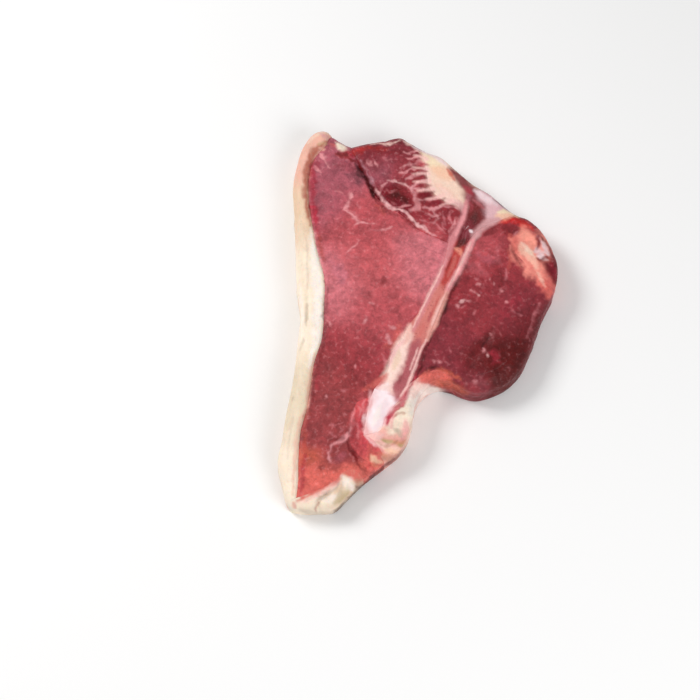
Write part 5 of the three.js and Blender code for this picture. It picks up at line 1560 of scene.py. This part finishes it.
def sawn_bone(name):
    """Sawn bone: smooth and pale where the paint is fatty, and full of small dark holes where it is not."""
    finish = Finish(name)
    place = finish.place()
    tint = finish.attribute("tint", "Color")
    fatty = finish.attribute("fatty", "Fac")
    spongy = 1 - fatty
    holes = finish.range(finish.noise(place, HOLE_MM, 2.0, 0.5), 0.42, 0.30)
    fine = finish.noise(place, 0.9, 3.0)
    broad = finish.noise(place, 4.0, 2.0)
    colour = finish.mix(holes * spongy * HOLE_STRENGTH, tint, HOLE_COLOUR)
    colour = finish.shade(colour, 0.78 + fine * 0.24 + broad * 0.22)
    relief = fine * 0.4 - holes * spongy * 0.6 + broad * 0.3
    finish.surface(
        Base_Color=colour, Normal=finish.bump(relief, 0.5, 0.5),
        Roughness=0.42 + spongy * 0.10 - broad * 0.08, IOR=1.5, Coat_Weight=0.25, Coat_Roughness=0.25,
        Subsurface_Weight=0.04, Subsurface_Radius=(1.0, 0.45, 0.35), Subsurface_Scale=0.8 * MM)
    return finish.material


FINISHES["t_bone"] = ("bone", sawn_bone("bone"))
print("nodes in the bone's finish:", len(FINISHES["t_bone"][1].node_tree.nodes))


# %% Gristle finish
def gristle(name):
    """Smooth shiny gristle, with only a broad faint unevenness."""
    finish = Finish(name)
    place = finish.place()
    tint = finish.attribute("tint", "Color")
    broad = finish.noise(place, 5.0, 3.0)
    relief = broad + finish.noise(place, 1.2, 2.0) * 0.2
    finish.surface(
        Base_Color=finish.shade(tint, 0.90 + broad * 0.20), Normal=finish.bump(relief, 0.3, 0.6),
        Roughness=0.34 + broad * 0.14, IOR=1.42, Coat_Weight=0.25, Coat_Roughness=0.2,
        Subsurface_Weight=0.06, Subsurface_Radius=(1.0, 0.6, 0.5), Subsurface_Scale=1.0 * MM)
    return finish.material


FINISHES["gristle_tip"] = ("gristle", gristle("gristle"))
print("materials:", sorted(slot for slot, material in FINISHES.values()))

# %% [markdown]
# ## Making the pieces
#
# Every tissue goes through the same steps: its shell, its paint and its finish. Smooth shading hides the
# grid, but the face must stay crisp where it turns down into a seam, so edges sharper than a set angle
# stay sharp. The sides that the photograph doesn't show get a colour of their own, and patches of
# another.

# %% The colours of the hidden sides
OUTER_SIDES = {
    "strip_loin": ("plum", "dusk"), "marbled_muscle": ("garnet", "dusk"), "tenderloin": ("plum", "dusk"),
    "flank_muscle": ("garnet", "plum"), "back_fat": ("butter", "bone_cream"),
    "tail_fat": ("cream", "ivory"), "flank_fat": ("shell_pink", "cream"), "kidney_fat": ("peach", "salmon"),
    "t_bone": ("bone_cream", "rose"), "gristle_tip": ("pearl", "lilac_white"),
}
OUTER_SHARE = 0.85
PATCH_SIZE = 7.0
MEETINGS = (
    "capTop", "loinTop", "boneTop", "filletTop", "kidneyTop", "kidneyEnd", "filletEnd", "flankSide",
    "flankEnd", "loinEnd", "capEnd",
)
MEMBRANE = "cortex_mauve"
MEMBRANE_WIDTH = 6.0
MEMBRANE_WANDERS = 3
MEMBRANE_SIZE = 5.0


def outer_side(tissue, vertices, hidden, colour):
    """Mix the tissue's outer colour in by how far each vertex is turned out of sight, in patches by
    noise.

    Near a place where two tissues meet on the rim, both turn to the colour of the thin membrane between
    them.
    """
    base, patches = (linear(name) for name in OUTER_SIDES[tissue])
    along, up = vertices[:, 0] - vertices[:, 1] * 0.8, vertices[:, 2] * 1.6 + vertices[:, 1] * 0.3
    share = smoothstep(grain(along, up, PATCH_SIZE, 91, 4), -0.1, 0.7)[:, None]
    outer = base + (patches - base) * share
    gap = np.min([np.hypot(*(vertices[:, :2] - rim_line[rim_index(name)]).T) for name in MEETINGS], axis=0)
    wander = MEMBRANE_WANDERS * grain(along, up, MEMBRANE_SIZE, 97, 3)
    near = smoothstep(gap + wander, MEMBRANE_WIDTH, 0)[:, None]
    outer += near * (linear(MEMBRANE) - outer)
    return colour + (OUTER_SHARE * hidden)[:, None] * (outer - colour)


print("tissues with outer colours:", len(OUTER_SIDES), "and meetings on the rim:", len(MEETINGS))

# %% Build every tissue
SHARP_ANGLE = math.radians(58)


def make_piece(tissue):
    """Make a tissue's mesh, paint and finish in place of its plain part, and give its triangles and top."""
    vertices, faces, paint_at = shell(tissue)
    mesh = bpy.data.meshes.new(tissue)
    mesh.from_pydata((vertices * MM).tolist(), [], faces)
    colour, fatty = paint(tissue, paint_at[:, 0], paint_at[:, 1])
    colour = outer_side(tissue, vertices, paint_at[:, 2], colour)
    rgba = np.column_stack([colour, np.ones(len(colour))]).astype(np.float32)
    mesh.attributes.new("tint", "FLOAT_COLOR", "POINT").data.foreach_set("color", rgba.ravel())
    mesh.attributes.new("fatty", "FLOAT", "POINT").data.foreach_set("value", fatty.astype(np.float32))
    mesh.shade_smooth()
    mesh.set_sharp_from_angle(angle=SHARP_ANGLE)
    slot, material = FINISHES[tissue]
    mesh.materials.append(material)
    piece = bpy.data.objects.new(tissue + "_look", mesh)
    bpy.context.scene.collection.objects.link(piece)
    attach(piece, "root")
    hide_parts(tissue)
    mesh.calc_loop_triangles()
    return len(mesh.loop_triangles), vertices[:, 2].max()


total = 0
for tissue in SIDES:
    triangles, highest = make_piece(tissue)
    total += triangles
    print(f"{tissue}: {triangles} triangles, {highest:.2f} mm high")
print("triangles in all:", total)

# %% [markdown]
# ## Floor and light
#
# The steak is shown on a plain pale floor under soft light. A lamp from the left lights the fat and gives
# the broad shine of wet meat, a second in front lights the near walls, and the pale world fills the
# shadows.

# %% Floor, lamps and world
FLOOR_SIZE = 4.0
FLOOR_COLOUR = (0.94, 0.94, 0.94, 1)
WORLD_STRENGTH = 0.40

bpy.ops.mesh.primitive_plane_add(size=FLOOR_SIZE, location=(0, 0, 0))
floor = bpy.context.object
floor.name = "floor"
floor_finish = Finish("floor_finish")
floor_tone = floor_finish.noise(floor_finish.place(), 60.0, 2.0)
floor_finish.surface(Base_Color=FLOOR_COLOUR, Roughness=0.75 + floor_tone * 0.1)
floor.data.materials.append(floor_finish.material)


def lamp(name, place, target, size, power, colour):
    """A square soft lamp at a place, turned to a target, in metres and watts."""
    data = bpy.data.lights.new(name, "AREA")
    data.size = size
    data.energy = power
    data.color = colour
    item = bpy.data.objects.new(name, data)
    direction = np.array(target) - np.array(place)
    length = np.linalg.norm(direction)
    item.location = place
    item.rotation_euler = (math.acos(-direction[2] / length), 0, math.atan2(-direction[0], direction[1]))
    bpy.context.scene.collection.objects.link(item)
    print("lamp", name, "stands", round(float(length), 2), "m away")


lamp("left", (-0.75, 0.30, 0.85), (0, 0, 0), 0.45, 7.5, (1.0, 0.99, 0.98))
lamp("front", (0.50, -0.70, 0.75), (0, 0, 0), 0.6, 5.3, (1.0, 1.0, 1.0))

world = bpy.data.worlds.new("pale_room")
world.use_nodes = True
background = world.node_tree.nodes["Background"]
background.inputs["Color"].default_value = (1.0, 1.0, 1.0, 1)
background.inputs["Strength"].default_value = WORLD_STRENGTH
bpy.context.scene.world = world
bpy.context.scene.view_settings.view_transform = "Standard"
